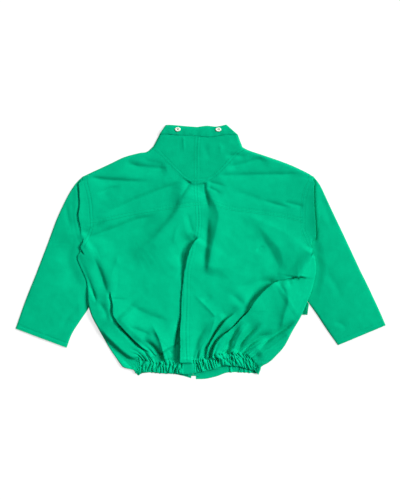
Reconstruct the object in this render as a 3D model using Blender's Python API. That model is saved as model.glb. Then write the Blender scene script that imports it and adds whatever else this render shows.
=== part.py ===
# A green cotton flight jacket, laid flat on its front, seen from its back.
# +X is the wearer's right sleeve as it lies (right when seen from above), +Y is
# towards the collar and +Z is up.  All tables are in millimetres.
#
# The front lies on the surface at z = 0.  The back lies on the front, and both
# meet along the shoulders, the collar's sides and the folded side edges.  Every
# piece of cloth is a wall WALL thick, made from the seam lines that bound it.

from collections import namedtuple
from math import cos, exp, hypot, pi, sin, sqrt

import bmesh
import bpy
from mathutils import Vector

MM = 0.001
WALL = 1.6            # cloth, doubled or hemmed, as a wall
SEAM = 0.15           # each piece stops this far inside its seam line
REST = 0.35           # air between two layers that lie on each other
FOLD_R = 3.4          # outer radius of a folded side edge
TUCK = 4.2            # how far the body's side is lifted by the sleeve below it
SLEEVE_EDGE = 3.8     # height of a sleeve at its folded edges
BAND_HIGH = 7.0       # height of the flattened collar band
TAPE_WALL = 1.0
TAPE_Z = 1.9
CHAIN_HALF = 2.5
RUFFLE = 8.6          # mean length of one gather in the elasticated hem
RUFFLE_RISE = 1.3
CLOTH = (0.0, 0.503, 0.251)
CLOTH_DARK = (0.0, 0.456, 0.226)
SNAP_WHITE = (0.9, 0.88, 0.8)
ZIP_GREEN = (0.0, 0.40, 0.20)

# ---------------------------------------------------------------- seam lines
# One row for each knot of a seam, with the columns (x, y).
CENTRE_NECK = ((-8, 279), (-10, 245), (-10, 178))
CENTRE_YOKE = ((-10, 178), (-10, 150), (-8, 121))
CENTRE_LOW = ((-8, 121), (-6, 65), (-15, 12), (-28, -43), (-31, -115), (-33, -187), (-31, -263))
YOKE_L = ((-8, 121), (-42, 116), (-85, 110), (-133, 103), (-181, 94), (-229, 83), (-265, 79))
YOKE_R = ((-8, 121), (30, 121), (66, 110), (119, 103), (171, 96), (210, 89), (246, 79))
FUNNEL_L = ((-10, 178), (-29, 177), (-52, 197), (-78, 223), (-102, 248), (-114, 254))
FUNNEL_R = ((-10, 178), (13, 178), (35, 191), (59, 215), (80, 238), (101, 252))
BAND_TOP_L = ((-8, 300), (-35, 302), (-69, 305), (-84, 305))
BAND_TOP_R = ((-8, 300), (15, 303), (38, 301), (62, 306))
BAND_LOW_L = ((-8, 279), (-49, 280), (-73, 282), (-99, 283))
BAND_LOW_R = ((-8, 279), (15, 276), (39, 278), (61, 281), (90, 281))
NECK_SIDE_L = ((-114, 254), (-105, 271), (-99, 283))
NECK_SIDE_R = ((101, 252), (94, 270), (90, 281))
SHOULDER_L = ((-114, 254), (-129, 241), (-148, 238), (-184, 228), (-220, 211), (-261, 192), (-282, 182))
SHOULDER_R = ((101, 252), (117, 244), (159, 230), (212, 211), (253, 192), (270, 182))
ARM_YOKE_L = ((-282, 182), (-274, 154), (-267, 118), (-265, 79))
ARM_YOKE_R = ((270, 182), (254, 154), (247, 118), (246, 79))
ARM_LOW_L = ((-265, 79), (-268, 53), (-288, 12))
ARM_LOW_R = ((246, 79), (248, 48), (269, 10))
SIDE_L = ((-288, 12), (-270, -24), (-251, -70), (-239, -115), (-225, -158), (-193, -204), (-150, -256))
SIDE_R = ((269, 10), (260, -24), (253, -60), (239, -108), (215, -168), (174, -214), (128, -258))
EDGE_L = ((-288, 12), (-296, -14), (-285, -43), (-273, -74), (-270, -122), (-261, -154), (-241, -192),
          (-220, -230), (-196, -265))
EDGE_R = ((269, 10), (275, -18), (277, -48), (267, -91), (255, -122), (239, -158), (219, -192),
          (200, -228), (171, -260))
CASING_TOP_L = ((-31, -263), (-61, -270), (-97, -268), (-121, -263), (-150, -256))
CASING_TOP_R = ((-31, -263), (-1, -259), (20, -253), (51, -244), (95, -244), (128, -258))
CASING_LOW_L = ((-31, -295), (-61, -293), (-97, -292), (-121, -290), (-146, -292))
CASING_LOW_R = ((-31, -295), (-6, -290), (15, -286), (39, -280), (56, -274), (95, -277), (130, -287))
HEM_EDGE_L = ((-196, -265), (-184, -278), (-158, -291))
HEM_EDGE_R = ((171, -260), (156, -276), (142, -293))
FRONT_LOW_L = ((-22.5, -304), (-42, -298), (-73, -292), (-121, -289), (-158, -291))
FRONT_LOW_R = ((-11.5, -306), (13, -305), (39, -299), (66, -290), (107, -290), (142, -293))
FRONT_HEM_L = ((-22.5, -272), (-121, -264), (-196, -265))
FRONT_HEM_R = ((-11.5, -272), (95, -262), (171, -260))
FRONT_NECK_L = ((-22.5, 158), (-54, 173), (-85, 206), (-114, 254))
FRONT_NECK_R = ((-11.5, 158), (27, 173), (66, 206), (101, 252))

# Front edges of the zip opening and the length of the zip.
ZIP_X = -17.0
OPEN_L = -22.5
OPEN_R = -11.5
ZIP_LOW = -298.0
ZIP_HIGH = 299.0

# Where the elasticated casing is gathered, with the plain block between.
Gather = namedtuple("Gather", "x_from x_to waves")
BACK_GATHERS = (Gather(-146, -41, 12), Gather(-15, 130, 17))
FRONT_GATHER_L = Gather(-62, -150, 10)
FRONT_GATHER_R = Gather(68, 136, 8)

# ------------------------------------------------------------------- folds
# A ridge (rise > 0) or trough (rise < 0) runs from (x0, y0) by (xm, ym) to
# (x1, y1), and half of its height is left at 0.42 of its width to either side.
Fold = namedtuple("Fold", "name x0 y0 xm ym x1 y1 width rise")
FOLDS = [Fold(*row) for row in (
    ("shoulder_drag_left", -265, 181, -189, 170, -114, 169, 19, -1.5),
    ("collar_drag_left", -181, 217, -133, 204, -81, 200, 14, -1.3),
    ("yoke_drag_left", -42, 169, -121, 139, -234, 89, 21, -1.8),
    ("armhole_trough_left", -282, 25, -210, 57, -97, 93, 20, -3.2),
    ("armhole_ridge_left", -261, -5, -181, 29, -93, 67, 30, 3.0),
    ("pleat_trough_left", -23, 168, -69, 77, -177, -7, 20, -3.2),
    ("pleat_ridge_left", -9, 130, -35, 48, -121, -29, 24, 2.4),
    ("chest_ridge_left", -201, 0, -210, -38, -213, -77, 18, 1.6),
    ("side_trough_left", -249, -24, -217, -144, -117, -252, 13, -3.6),
    ("side_ridge_left", -239, -91, -220, -175, -131, -259, 13, 3.6),
    ("hem_ridge_left", -117, -168, -90, -216, -78, -264, 18, 3.4),
    ("hem_trough_left", -150, -194, -117, -228, -93, -259, 14, -3.4),
    ("belly_trough_left", -177, -123, -138, -146, -73, -171, 20, -1.6),
    ("belly_soft_left", -73, 10, -64, -31, -57, -79, 26, -1.6),
    ("centre_strip_ridge", -28, 10, -35, -115, -33, -250, 15, 3.6),
    ("centre_strip_trough", -37, 14, -52, -144, -61, -264, 12, -4.2),
    ("centre_dart", -9, 38, -25, 24, -45, 10, 11, -2.2),
    ("pleat_trough_right", 6, 163, 25, 65, 12, -62, 20, -3.2),
    ("belly_ridge_centre", -16, -98, 15, -132, 42, -163, 18, 2.4),
    ("yoke_drag_right", 47, 184, 143, 184, 246, 187, 18, -1.6),
    ("collar_drag_right", 63, 203, 109, 213, 159, 229, 15, -1.5),
    ("wedge_trough_right", 133, 70, 169, 14, 185, -50, 24, -3.0),
    ("wedge_ridge_right", 191, 34, 203, -10, 193, -60, 16, 2.4),
    ("armhole_facet_right", 263, 2, 236, -31, 203, -65, 24, -3.0),
    ("big_trough_right_a", 231, -60, 147, -91, 85, -168, 17, -4.0),
    ("big_trough_right_b", 95, -158, 42, -206, 27, -254, 15, -3.4),
    ("big_ridge_right_a", 243, -82, 167, -120, 95, -204, 22, 3.4),
    ("big_ridge_right_b", 109, -187, 61, -226, 49, -259, 15, 3.0),
    ("inner_ridge_right", 37, -154, 23, -211, 11, -262, 12, 3.2),
    ("inner_trough_right", 18, -166, -4, -206, -18, -254, 15, -3.0),
    ("flank_soft_right", 186, -74, 210, -127, 181, -192, 18, -2.0),
    ("hem_trough_right_a", 97, -192, 75, -221, 66, -245, 11, -2.8),
    ("hem_trough_right_b", 164, -197, 135, -219, 107, -247, 13, -2.8),
    ("hem_trough_right_c", 219, -175, 191, -199, 147, -226, 15, -2.4),
    ("hem_ridge_right", 219, -194, 174, -226, 135, -252, 13, 2.4),
)]

# The air that fills the lower back: a low dome, and a lift at the hem's mouth.
Dome = namedtuple("Dome", "x y reach_x reach_y rise")
DOMES = (Dome(20, -160, 150, 100, 7.0), Dome(32, -290, 48, 60, 3.0), Dome(10, 60, 170, 90, 1.6))

# ----------------------------------------------------------------- sleeves
# One row for each section across a sleeve: its folded outer and inner edges, how
# far its middle bows away from the body, and its height at the middle.
Section = namedtuple("Section", "out_x out_y in_x in_y bow high")
SLEEVE_L = [Section(*row) for row in (
    (-284.0, 181.0, -290.0, 8.0, 4.0, 9.0),
    (-287.0, 179.0, -292.6, 4.6, 6.0, 5.4),
    (-300.0, 165.0, -293.6, 1.0, 12.0, 5.6),
    (-316.0, 141.0, -293.6, -3.0, 12.0, 6.2),
    (-331.0, 112.0, -292.8, -9.0, 9.0, 6.8),
    (-346.0, 79.0, -290.5, -17.0, 6.0, 7.0),
    (-358.0, 47.0, -285.0, -28.0, 3.0, 7.0),
    (-371.0, 12.0, -268.0, -46.0, 0.0, 6.8),
    (-384.0, -22.0, -255.0, -72.0, 0.0, 6.6),
    (-397.0, -56.0, -258.0, -105.0, 0.0, 6.8),
    (-410.0, -88.0, -269.0, -134.0, 0.0, 7.0),
    (-424.0, -124.0, -290.0, -166.0, 0.0, 6.6),
    (-436.0, -158.0, -309.0, -196.0, 0.0, 6.0),
    (-442.5, -176.0, -318.6, -221.0, 0.0, 5.6),
    (-445.0, -184.0, -322.0, -230.0, 0.0, 5.2),
)]
SLEEVE_R = [Section(*row) for row in (
    (272.0, 181.0, 273.0, 8.0, 2.0, 9.0),
    (275.0, 179.0, 276.0, 4.6, 3.5, 5.4),
    (287.0, 161.0, 277.0, 0.0, 8.0, 5.6),
    (301.0, 132.0, 277.0, -5.0, 9.0, 6.2),
    (314.0, 104.0, 276.3, -11.0, 8.0, 6.8),
    (329.0, 72.0, 274.0, -19.0, 6.0, 7.0),
    (343.0, 43.0, 268.0, -30.0, 3.0, 7.0),
    (357.0, 13.0, 253.0, -47.0, 0.0, 6.8),
    (371.0, -17.0, 240.0, -72.0, 0.0, 6.6),
    (385.0, -47.0, 243.0, -98.0, 0.0, 6.8),
    (400.0, -77.0, 258.0, -120.0, 0.0, 7.0),
    (415.0, -109.0, 280.0, -151.0, 0.0, 6.6),
    (430.0, -141.0, 303.0, -186.0, 0.0, 6.0),
    (442.0, -168.0, 325.0, -215.0, 0.0, 5.6),
    (445.0, -176.0, 330.0, -224.0, 0.0, 5.2),
)]

# Pocket flaps on the outer face of the fronts, under them as the jacket lies.
Flap = namedtuple("Flap", "side x_in x_out x_out_top y_low y_high")
FLAPS = (Flap("left", -118, -254, -254, -151, -113), Flap("right", 118, 258, 253, -151, -113))
FLAP_LIFT = WALL + REST

SNAPS = (("left", -55.0, 294.0), ("right", 42.5, 293.5))
Lathe = namedtuple("Lathe", "radius z")
SNAP_PROFILE = (Lathe(7.0, 0.0), Lathe(7.0, 0.9), Lathe(6.3, 1.5), Lathe(4.4, 1.6), Lathe(3.6, 1.1),
                Lathe(2.6, 1.1), Lathe(2.2, 2.0), Lathe(1.2, 2.3))


# ------------------------------------------------------------ plane geometry
def spline(knots, count):
    """count + 1 points, evenly spaced, on a smooth curve through the knots."""
    pts = [Vector((k[0], k[1])) for k in knots]
    ext = [pts[0] * 2 - pts[1]] + pts + [pts[-1] * 2 - pts[-2]]
    dense = []
    for i in range(1, len(ext) - 2):
        p0, p1, p2, p3 = ext[i - 1:i + 3]
        for k in range(16):
            t = k / 16
            a = p1 * 2
            b = (p2 - p0) * t
            c = (p0 * 2 - p1 * 5 + p2 * 4 - p3) * t * t
            d = (p1 * 3 - p0 - p2 * 3 + p3) * t * t * t
            dense.append((a + b + c + d) * 0.5)
    dense.append(pts[-1])
    return spaced(dense, [k / count for k in range(count + 1)])


def spaced(dense, fractions):
    """Points of a polyline at the given fractions of its length."""
    length = [0.0]
    for a, b in zip(dense, dense[1:]):
        length.append(length[-1] + (b - a).length)
    out = []
    i = 0
    for f in fractions:
        want = f * length[-1]
        while i < len(dense) - 2 and length[i + 1] < want:
            i += 1
        t = (want - length[i]) / max(length[i + 1] - length[i], 1e-9)
        out.append(dense[i].lerp(dense[i + 1], min(max(t, 0.0), 1.0)))
    return out


def join(*runs):
    """Runs of points end to end, with the shared ends once."""
    out = list(runs[0])
    for run in runs[1:]:
        out += list(run)[1:]
    return out


def coons(low, high, left, right):
    """Rows of points that fill the space between four runs of points."""
    cols = len(low) - 1
    rows = len(left) - 1
    grid = []
    for j in range(rows + 1):
        v = j / rows
        row = []
        for i in range(cols + 1):
            u = i / cols
            along = low[i] * (1 - v) + high[i] * v
            across = left[j] * (1 - u) + right[j] * u
            corner = (low[0] * (1 - u) + low[-1] * u) * (1 - v) + (high[0] * (1 - u) + high[-1] * u) * v
            row.append(along + across - corner)
        grid.append(row)
    return grid


def inset(grid, gap):
    """Move the border of a grid of points inwards by the gap."""
    rows = len(grid) - 1
    cols = len(grid[0]) - 1
    loop = [(0, i) for i in range(cols)] + [(j, cols) for j in range(rows)]
    loop += [(rows, i) for i in range(cols, 0, -1)] + [(j, 0) for j in range(rows, 0, -1)]
    pts = [grid[j][i] for j, i in loop]
    area = sum(a.x * b.y - b.x * a.y for a, b in zip(pts, pts[1:] + pts[:1]))
    turn = 1.0 if area > 0 else -1.0
    moved = []
    for k, p in enumerate(pts):
        a = (p - pts[k - 1]).normalized()
        b = (pts[(k + 1) % len(pts)] - p).normalized()
        na = Vector((-a.y, a.x)) * turn
        nb = Vector((-b.y, b.x)) * turn
        n = na + nb
        scale = gap * 2 / max(n.length_squared, 0.6)
        moved.append(p + n * scale)
    for (j, i), p in zip(loop, moved):
        grid[j][i] = p
    return grid


def ease(t):
    t = min(max(t, 0.0), 1.0)
    return t * t * (3 - 2 * t)


def distance(x, y, line):
    """Shortest way from a point to a line of points."""
    best = 1e9
    for a, b in zip(line, line[1:]):
        ab = b - a
        t = ((x - a.x) * ab.x + (y - a.y) * ab.y) / max(ab.length_squared, 1e-9)
        t = min(max(t, 0.0), 1.0)
        best = min(best, hypot(x - a.x - ab.x * t, y - a.y - ab.y * t))
    return best


# ------------------------------------------------------------------- heights
CLOSED_EDGES = [spline(knots, 12) for knots in (SHOULDER_L, SHOULDER_R, NECK_SIDE_L, NECK_SIDE_R)]
SLEEVE_IN_L = [Vector((s.in_x, s.in_y)) for s in SLEEVE_L]
SLEEVE_IN_R = [Vector((s.in_x, s.in_y)) for s in SLEEVE_R]


def inner_edge_x(line, y):
    """X of a sleeve's inner edge at a height y."""
    for a, b in zip(line, line[1:]):
        if b.y <= y <= a.y:
            return a.x + (b.x - a.x) * (a.y - y) / max(a.y - b.y, 1e-9)
    return line[0].x if y > line[0].y else line[-1].x


def floor(x, y):
    """How far the front's outer face is lifted off the surface."""
    lift = 0.0
    for flap in FLAPS:
        near = min(flap.x_in, flap.x_out)
        far = max(flap.x_in, flap.x_out)
        out = max(near - x, x - far, flap.y_low - y, y - flap.y_high, 0.0)
        lift = max(lift, FLAP_LIFT * ease((75.0 - out) / 40.0))
    for line, side in ((SLEEVE_IN_L, -1.0), (SLEEVE_IN_R, 1.0)):
        if x * side > 0:
            over = (x - inner_edge_x(line, y)) * side
            tucked = ease((over + 76.0) / 40.0) * ease((40 - y) / 24.0) * ease((y + 190) / 36.0)
            lift = max(lift, TUCK * tucked)
    return lift


def fold_line(fold):
    """Points on a fold's curve."""
    return spline(((fold.x0, fold.y0), (fold.xm, fold.ym), (fold.x1, fold.y1)), 8)


FOLD_LINES = [(fold, fold_line(fold)) for fold in FOLDS]


def fold_rise(x, y):
    """Sum of the folds at a point."""
    rise = 0.0
    for fold, line in FOLD_LINES:
        reach = fold.width * 1.6
        if not (min(p.x for p in line) - reach < x < max(p.x for p in line) + reach):
            continue
        if not (min(p.y for p in line) - reach < y < max(p.y for p in line) + reach):
            continue
        away = distance(x, y, line)
        first = (Vector((x, y)) - line[0]).length
        last = (Vector((x, y)) - line[-1]).length
        fade = ease(first / 45.0) * ease(last / 22.0 + 0.35)
        rise += fold.rise * fade * exp(-(away / (fold.width * 0.5)) ** 2)
    return rise


def back_top(x, y):
    """Height of the back's outer face."""
    low = floor(x, y)
    closed = min(distance(x, y, line) for line in CLOSED_EDGES)
    loft = ease(closed / 16.0)
    air = sum(d.rise * exp(-((x - d.x) / d.reach_x) ** 2 - ((y - d.y) / d.reach_y) ** 2) for d in DOMES)
    want = 2 * FOLD_R + (air + fold_rise(x, y)) * loft
    least = 2 * WALL + REST + 0.6 * min(low, 1.0)
    want = least + (want - least) * loft
    if abs(x - ZIP_X) < 30:
        least += (TAPE_WALL + REST) * ease((30 - abs(x - ZIP_X)) / 8.0)
    want = max(want, least)
    return low + want


def flatten_bottom(grid, top):
    """Outer and inner points of a piece of the back, one straight below the other."""
    outer = [[Vector((p.x, p.y, top(p.x, p.y))) for p in row] for row in grid]
    inner = [[Vector((p.x, p.y, p.z - WALL)) for p in row] for row in outer]
    return outer, inner


# ------------------------------------------------------------------- solids
def material(name, colour, rough):
    mat = bpy.data.materials.new(name)
    mat.use_nodes = True
    shader = mat.node_tree.nodes["Principled BSDF"]
    shader.inputs["Base Color"].default_value = (colour[0], colour[1], colour[2], 1.0)
    shader.inputs["Roughness"].default_value = rough
    return mat


def finish(bm, name, colour, rough):
    bmesh.ops.recalc_face_normals(bm, faces=bm.faces[:])
    mesh = bpy.data.meshes.new(name)
    bm.to_mesh(mesh)
    bm.free()
    obj = bpy.data.objects.new(name, mesh)
    JACKET.objects.link(obj)
    mesh.materials.append(material(name + "_cloth", colour, rough))
    return obj


def sheet(name, outer, inner, colour=CLOTH, ring=False):
    """A wall between two grids of points: a grid or a tube of quads, thickened."""
    rows = len(outer)
    cols = len(outer[0])
    bm = bmesh.new()
    if ring:
        bmesh.ops.create_circle(bm, segments=cols, radius=1.0)
        edges = bm.edges[:]
        for _ in range(rows - 1):
            made = bmesh.ops.extrude_edge_only(bm, edges=edges)
            edges = [g for g in made["geom"] if isinstance(g, bmesh.types.BMEdge)]
            edges = [e for e in edges if not e.link_faces or len(e.link_faces) == 1]
            bm.verts.ensure_lookup_table()
            fresh = set(bm.verts[-cols:])
            edges = [e for e in edges if e.verts[0] in fresh and e.verts[1] in fresh]
    else:
        bmesh.ops.create_grid(bm, x_segments=cols - 1, y_segments=rows - 1, size=1.0)
    bm.verts.ensure_lookup_table()
    tag = bm.verts.layers.int.new("place")
    for k, vert in enumerate(bm.verts):
        vert[tag] = k
        vert.co = outer[k // cols][k % cols] * MM
    made = bmesh.ops.extrude_face_region(bm, geom=bm.faces[:])
    for item in made["geom"]:
        if isinstance(item, bmesh.types.BMVert):
            k = item[tag]
            item.co = inner[k // cols][k % cols] * MM
    return finish(bm, name, colour, 0.8)


def back_piece(name, low, high, left, right):
    grid = inset(coons(low, high, left, right), SEAM)
    outer, inner = flatten_bottom(grid, back_top)
    return sheet(name, outer, inner)


LOWER_COLS = 26
SIDE_FRACTIONS = [0.0, 0.03, 0.07] + [0.07 + 0.93 * k / 12 for k in range(1, 13)]
SIDE_ROWS = len(SIDE_FRACTIONS) - 1
ARM_ROWS = 4
YOKE_ROWS = 6
NECK_COLS = 10


def back_lower(name, casing, side, arm, yoke):
    """Lower back: casing seam below, yoke seam above, side and armhole outside."""
    low = spline(casing, LOWER_COLS)
    high = spline(yoke, LOWER_COLS)
    centre = list(reversed(spline(CENTRE_LOW, SIDE_ROWS + ARM_ROWS)))
    side_run = list(reversed(spaced(spline(side, 60), SIDE_FRACTIONS)))
    outside = join(side_run, list(reversed(spline(arm, ARM_ROWS))))
    return back_piece(name, low, high, centre, outside)


def back_yoke(name, yoke, arm, shoulder, funnel):
    """Yoke half: yoke seam below, shoulder above, neck insert inside."""
    low = spline(yoke, LOWER_COLS)
    outside = list(reversed(spline(arm, YOKE_ROWS)))
    slant = spline(funnel, NECK_COLS)
    top = join(slant, spline(shoulder, LOWER_COLS - NECK_COLS))
    centre = list(reversed(spline(CENTRE_YOKE, YOKE_ROWS)))
    return back_piece(name, low, top, centre, outside)


def neck_insert(name, funnel, side, band):
    """Neck half: the slanted seam below and outside, the band above."""
    low = spline(funnel, NECK_COLS)
    high = spline(band, NECK_COLS)
    centre = list(reversed(spline(CENTRE_NECK, 8)))
    outside = spline(side, 8)
    return back_piece(name, low, high, centre, outside)


def wrapped(name, low, high, inside, edge, seam, turns, cols, extra, top, ripple=None):
    """A front piece: flat on the surface, then folded up and over its outer edge.

    edge and seam are runs of points for the folded edge and for where the piece
    ends on top; turns says, row by row, how far round the fold has gone."""
    ends = []
    for e, s, turn in zip(edge, seam, turns):
        into = (s - e)
        into = into.normalized() if into.length > 1.0 else (inside[0] - edge[0]).normalized()
        if turn <= 0.0:
            into = (inside[len(ends)] - e).normalized()
            if len(ends) == len(turns) - 1:
                into = (high[-2] - e).normalized()
            ends.append((e + into * 12.0, into, 0.0, 12.0))
            continue
        angle = turn * pi
        strip = max((s - e).length - FOLD_R - 2 * SEAM, 0.6) if turn >= 1.0 else 0.8
        reach = FOLD_R * (sin(angle) if angle < pi / 2 else 1.0)
        ends.append((e + into * reach, into, angle, FOLD_R * angle + strip))
    run = [end[0] for end in ends]
    low = list(low[:-1]) + [run[0]]
    high = list(high[:-1]) + [run[-1]]
    flat = inset(coons(low, high, inside, run), SEAM)
    outer = []
    inner = []
    for j, row in enumerate(flat):
        start, into, angle, length = ends[j]
        out_row = []
        in_row = []
        for p in row:
            z = floor(p.x, p.y)
            if ripple:
                z += ripple(p.x, p.y)
            out_row.append(Vector((p.x, p.y, z)))
            in_row.append(Vector((p.x, p.y, z + WALL)))
        base = floor(start.x, start.y)
        for k in range(1, extra + 1):
            s = length * k / extra
            if angle > 0:
                arc = FOLD_R * angle
                s = arc * k / ARC_COLS if k <= ARC_COLS else arc + (length - arc) * (k - ARC_COLS) / (extra - ARC_COLS)
            if angle > 0 and s <= FOLD_R * angle + 1e-6:
                phi = s / FOLD_R
                out = FOLD_R * sin(phi)
                z = FOLD_R * (1 - cos(phi))
            else:
                phi = angle
                rest = s - FOLD_R * angle
                out = FOLD_R * sin(angle) + rest * cos(angle)
                z = FOLD_R * (1 - cos(angle)) + rest * sin(angle)
            at = start - into * out
            lift = base
            if angle == 0.0:
                lift = floor(at.x, at.y)
            turned = Vector((into.x * sin(phi), into.y * sin(phi), cos(phi)))
            point = Vector((at.x, at.y, z + lift))
            out_row.append(point)
            in_row.append(point + turned * WALL)
        outer.append(out_row)
        inner.append(in_row)
    return sheet(name, outer, inner)


FRONT_COLS = 9
FRONT_SIDE_ROWS = SIDE_ROWS
FRONT_ARM_ROWS = 7
FRONT_NECK_COLS = 4
ARC_COLS = 4


def front(name, side, hem, opening_x, neck, shoulder, arm_yoke, arm_low, edge, seam):
    """Front half with its side folded over towards the back."""
    rows = FRONT_SIDE_ROWS + FRONT_ARM_ROWS
    low = spline(hem, FRONT_COLS)
    top = join(spline(neck, FRONT_NECK_COLS), spline(shoulder, FRONT_COLS - FRONT_NECK_COLS))
    inside = [Vector((opening_x, low[0].y + (neck[0][1] - low[0].y) * j / rows)) for j in range(rows + 1)]
    fracs = SIDE_FRACTIONS[:-1] + [0.998]
    edge_run = list(reversed(spaced(spline(edge, 60), fracs)))
    seam_run = list(reversed(spaced(spline(seam, 60), fracs)))
    arm = join(list(reversed(spline(arm_low, 3))), list(reversed(spline(arm_yoke, FRONT_ARM_ROWS - 3))))
    gap = Vector((-SEAM * 6 * side, 0.0))
    arm = [p + gap for p in arm]
    edge_all = join(edge_run, arm)
    seam_all = join(seam_run, arm)
    edge_all[FRONT_SIDE_ROWS] = arm[0]
    seam_all[FRONT_SIDE_ROWS] = arm[0]
    turns = [1.0] * (FRONT_SIDE_ROWS - 1) + [0.5, 0.0] + [0.0] * FRONT_ARM_ROWS
    top[-1] = top[-1] + gap
    return wrapped(name, low, top, inside, edge_all, seam_all, turns, FRONT_COLS, 6, None)


def ruffle_phase(gather, x):
    """Turns of the ruffle at a place in a gathered stretch, uneven along it."""
    t = (x - gather.x_from) / (gather.x_to - gather.x_from)
    t = min(max(t, 0.0), 1.0)
    return gather.waves * (t + 0.011 * sin(2 * pi * 3.0 * t) + 0.007 * sin(2 * pi * 7.0 * t))


def ruffle(gathers, x):
    """Rise of the ruffles at x: none on the plain stretches."""
    for gather in gathers:
        lo = min(gather.x_from, gather.x_to)
        hi = max(gather.x_from, gather.x_to)
        if lo <= x <= hi:
            phase = ruffle_phase(gather, x)
            uneven = 0.8 + 0.2 * sin(2.1 * int(phase) + 0.6)
            return RUFFLE_RISE * uneven * (1 - cos(2 * pi * phase))
    return 0.0


def stretch(gather, per_wave):
    """X of the columns of a gathered stretch, evenly spaced along it."""
    count = gather.waves * per_wave
    return [gather.x_from + (gather.x_to - gather.x_from) * k / count for k in range(count + 1)]


def at_x(dense, x):
    """Y of a line of points at x."""
    for a, b in zip(dense, dense[1:]):
        if (a.x - x) * (b.x - x) <= 0 and abs(a.x - b.x) > 1e-9:
            return a.y + (b.y - a.y) * (x - a.x) / (b.x - a.x)
    return dense[0].y if abs(dense[0].x - x) < abs(dense[-1].x - x) else dense[-1].y


def hem_back():
    """The casing across the back: ruffled, with a plain block at the centre."""
    left, right = BACK_GATHERS
    xs = stretch(left, 4) + [-34.5, -28.0, -21.5] + stretch(right, 4)
    top_line = list(reversed(spline(CASING_TOP_L, 60))) + spline(CASING_TOP_R, 60)[1:]
    low_line = list(reversed(spline(CASING_LOW_L, 60))) + spline(CASING_LOW_R, 60)[1:]
    rows = 3
    grid = []
    span = xs[-1] - xs[0]
    for j in range(rows + 1):
        v = j / rows
        row = []
        for x in xs:
            lean = x + (-4.0 * (xs[-1] - x) / span + -2.0 * (x - xs[0]) / span) * v
            y_low = at_x(low_line, x) - 0.45 * ruffle(BACK_GATHERS, x)
            y_top = at_x(top_line, lean)
            row.append(Vector((lean, y_low + (y_top - y_low) * v)))
        grid.append(row)
    grid = inset(grid, SEAM)
    outer = []
    for j, row in enumerate(grid):
        v = j / rows
        fall = 1.0 - 0.25 * v
        line = []
        for i, p in enumerate(row):
            z = back_top(p.x, p.y) - 0.8 + ruffle(BACK_GATHERS, xs[i]) * fall
            line.append(Vector((p.x, p.y, z)))
        outer.append(line)
    inner = [[Vector((p.x, p.y, p.z - WALL)) for p in row] for row in outer]
    return sheet("hem_back", outer, inner)


def hem_front(name, low_knots, high_knots, edge_knots, gather, plain_cols, casing_end):
    """Front casing: plain beside the zip, then gathered, then folded to the back."""
    start = low_knots[0][0]
    xs = [start + (gather.x_from - start) * k / plain_cols for k in range(plain_cols)]
    xs += stretch(gather, 4)
    rows = 3
    low_line = spline(low_knots, 60)
    high_line = spline(high_knots, 60)
    edge = list(reversed(spline(edge_knots, rows)))
    (tx, ty), (bx, by) = casing_end
    seam = [Vector((bx + (tx - bx) * j / rows, by + (ty - by) * j / rows)) for j in range(rows + 1)]
    out = []
    inn = []
    for j in range(rows + 1):
        v = j / rows
        into = (seam[j] - edge[j]).normalized()
        start_fold = edge[j] + into * FOLD_R
        strip = max((seam[j] - edge[j]).length - FOLD_R - SEAM, 0.8)
        length = FOLD_R * pi + strip
        out_row = []
        in_row = []
        scale = (start_fold.x - xs[0]) / (xs[-1] - xs[0] + (9.0 if xs[-1] > 0 else -9.0))
        for i, x in enumerate(xs):
            px = xs[0] + (x - xs[0]) * scale
            y_low = at_x(low_line, px)
            y_high = at_x(high_line, px) - 2 * SEAM
            rise = ruffle((gather,), x)
            y = y_low + (y_high - y_low) * v - 0.4 * rise * (1 - v)
            z = rise * (1.0 - 0.55 * v)
            out_row.append(Vector((px, y, z)))
            in_row.append(Vector((px, y, z + WALL)))
        out_row.append(Vector((start_fold.x, start_fold.y, 0.0)))
        in_row.append(Vector((start_fold.x, start_fold.y, WALL)))
        base = 0.0
        for k in range(1, 8):
            s = length * k / 7
            if s <= FOLD_R * pi:
                phi = s / FOLD_R
                away = FOLD_R * sin(phi)
                z = FOLD_R * (1 - cos(phi))
            else:
                phi = pi
                away = -(s - FOLD_R * pi)
                z = 2 * FOLD_R
            at = start_fold - into * away
            turned = Vector((into.x * sin(phi), into.y * sin(phi), cos(phi)))
            point = Vector((at.x, at.y, z + base))
            out_row.append(point)
            in_row.append(point + turned * WALL)
        out.append(out_row)
        inn.append(in_row)
    return sheet(name, out, inn)


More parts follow.
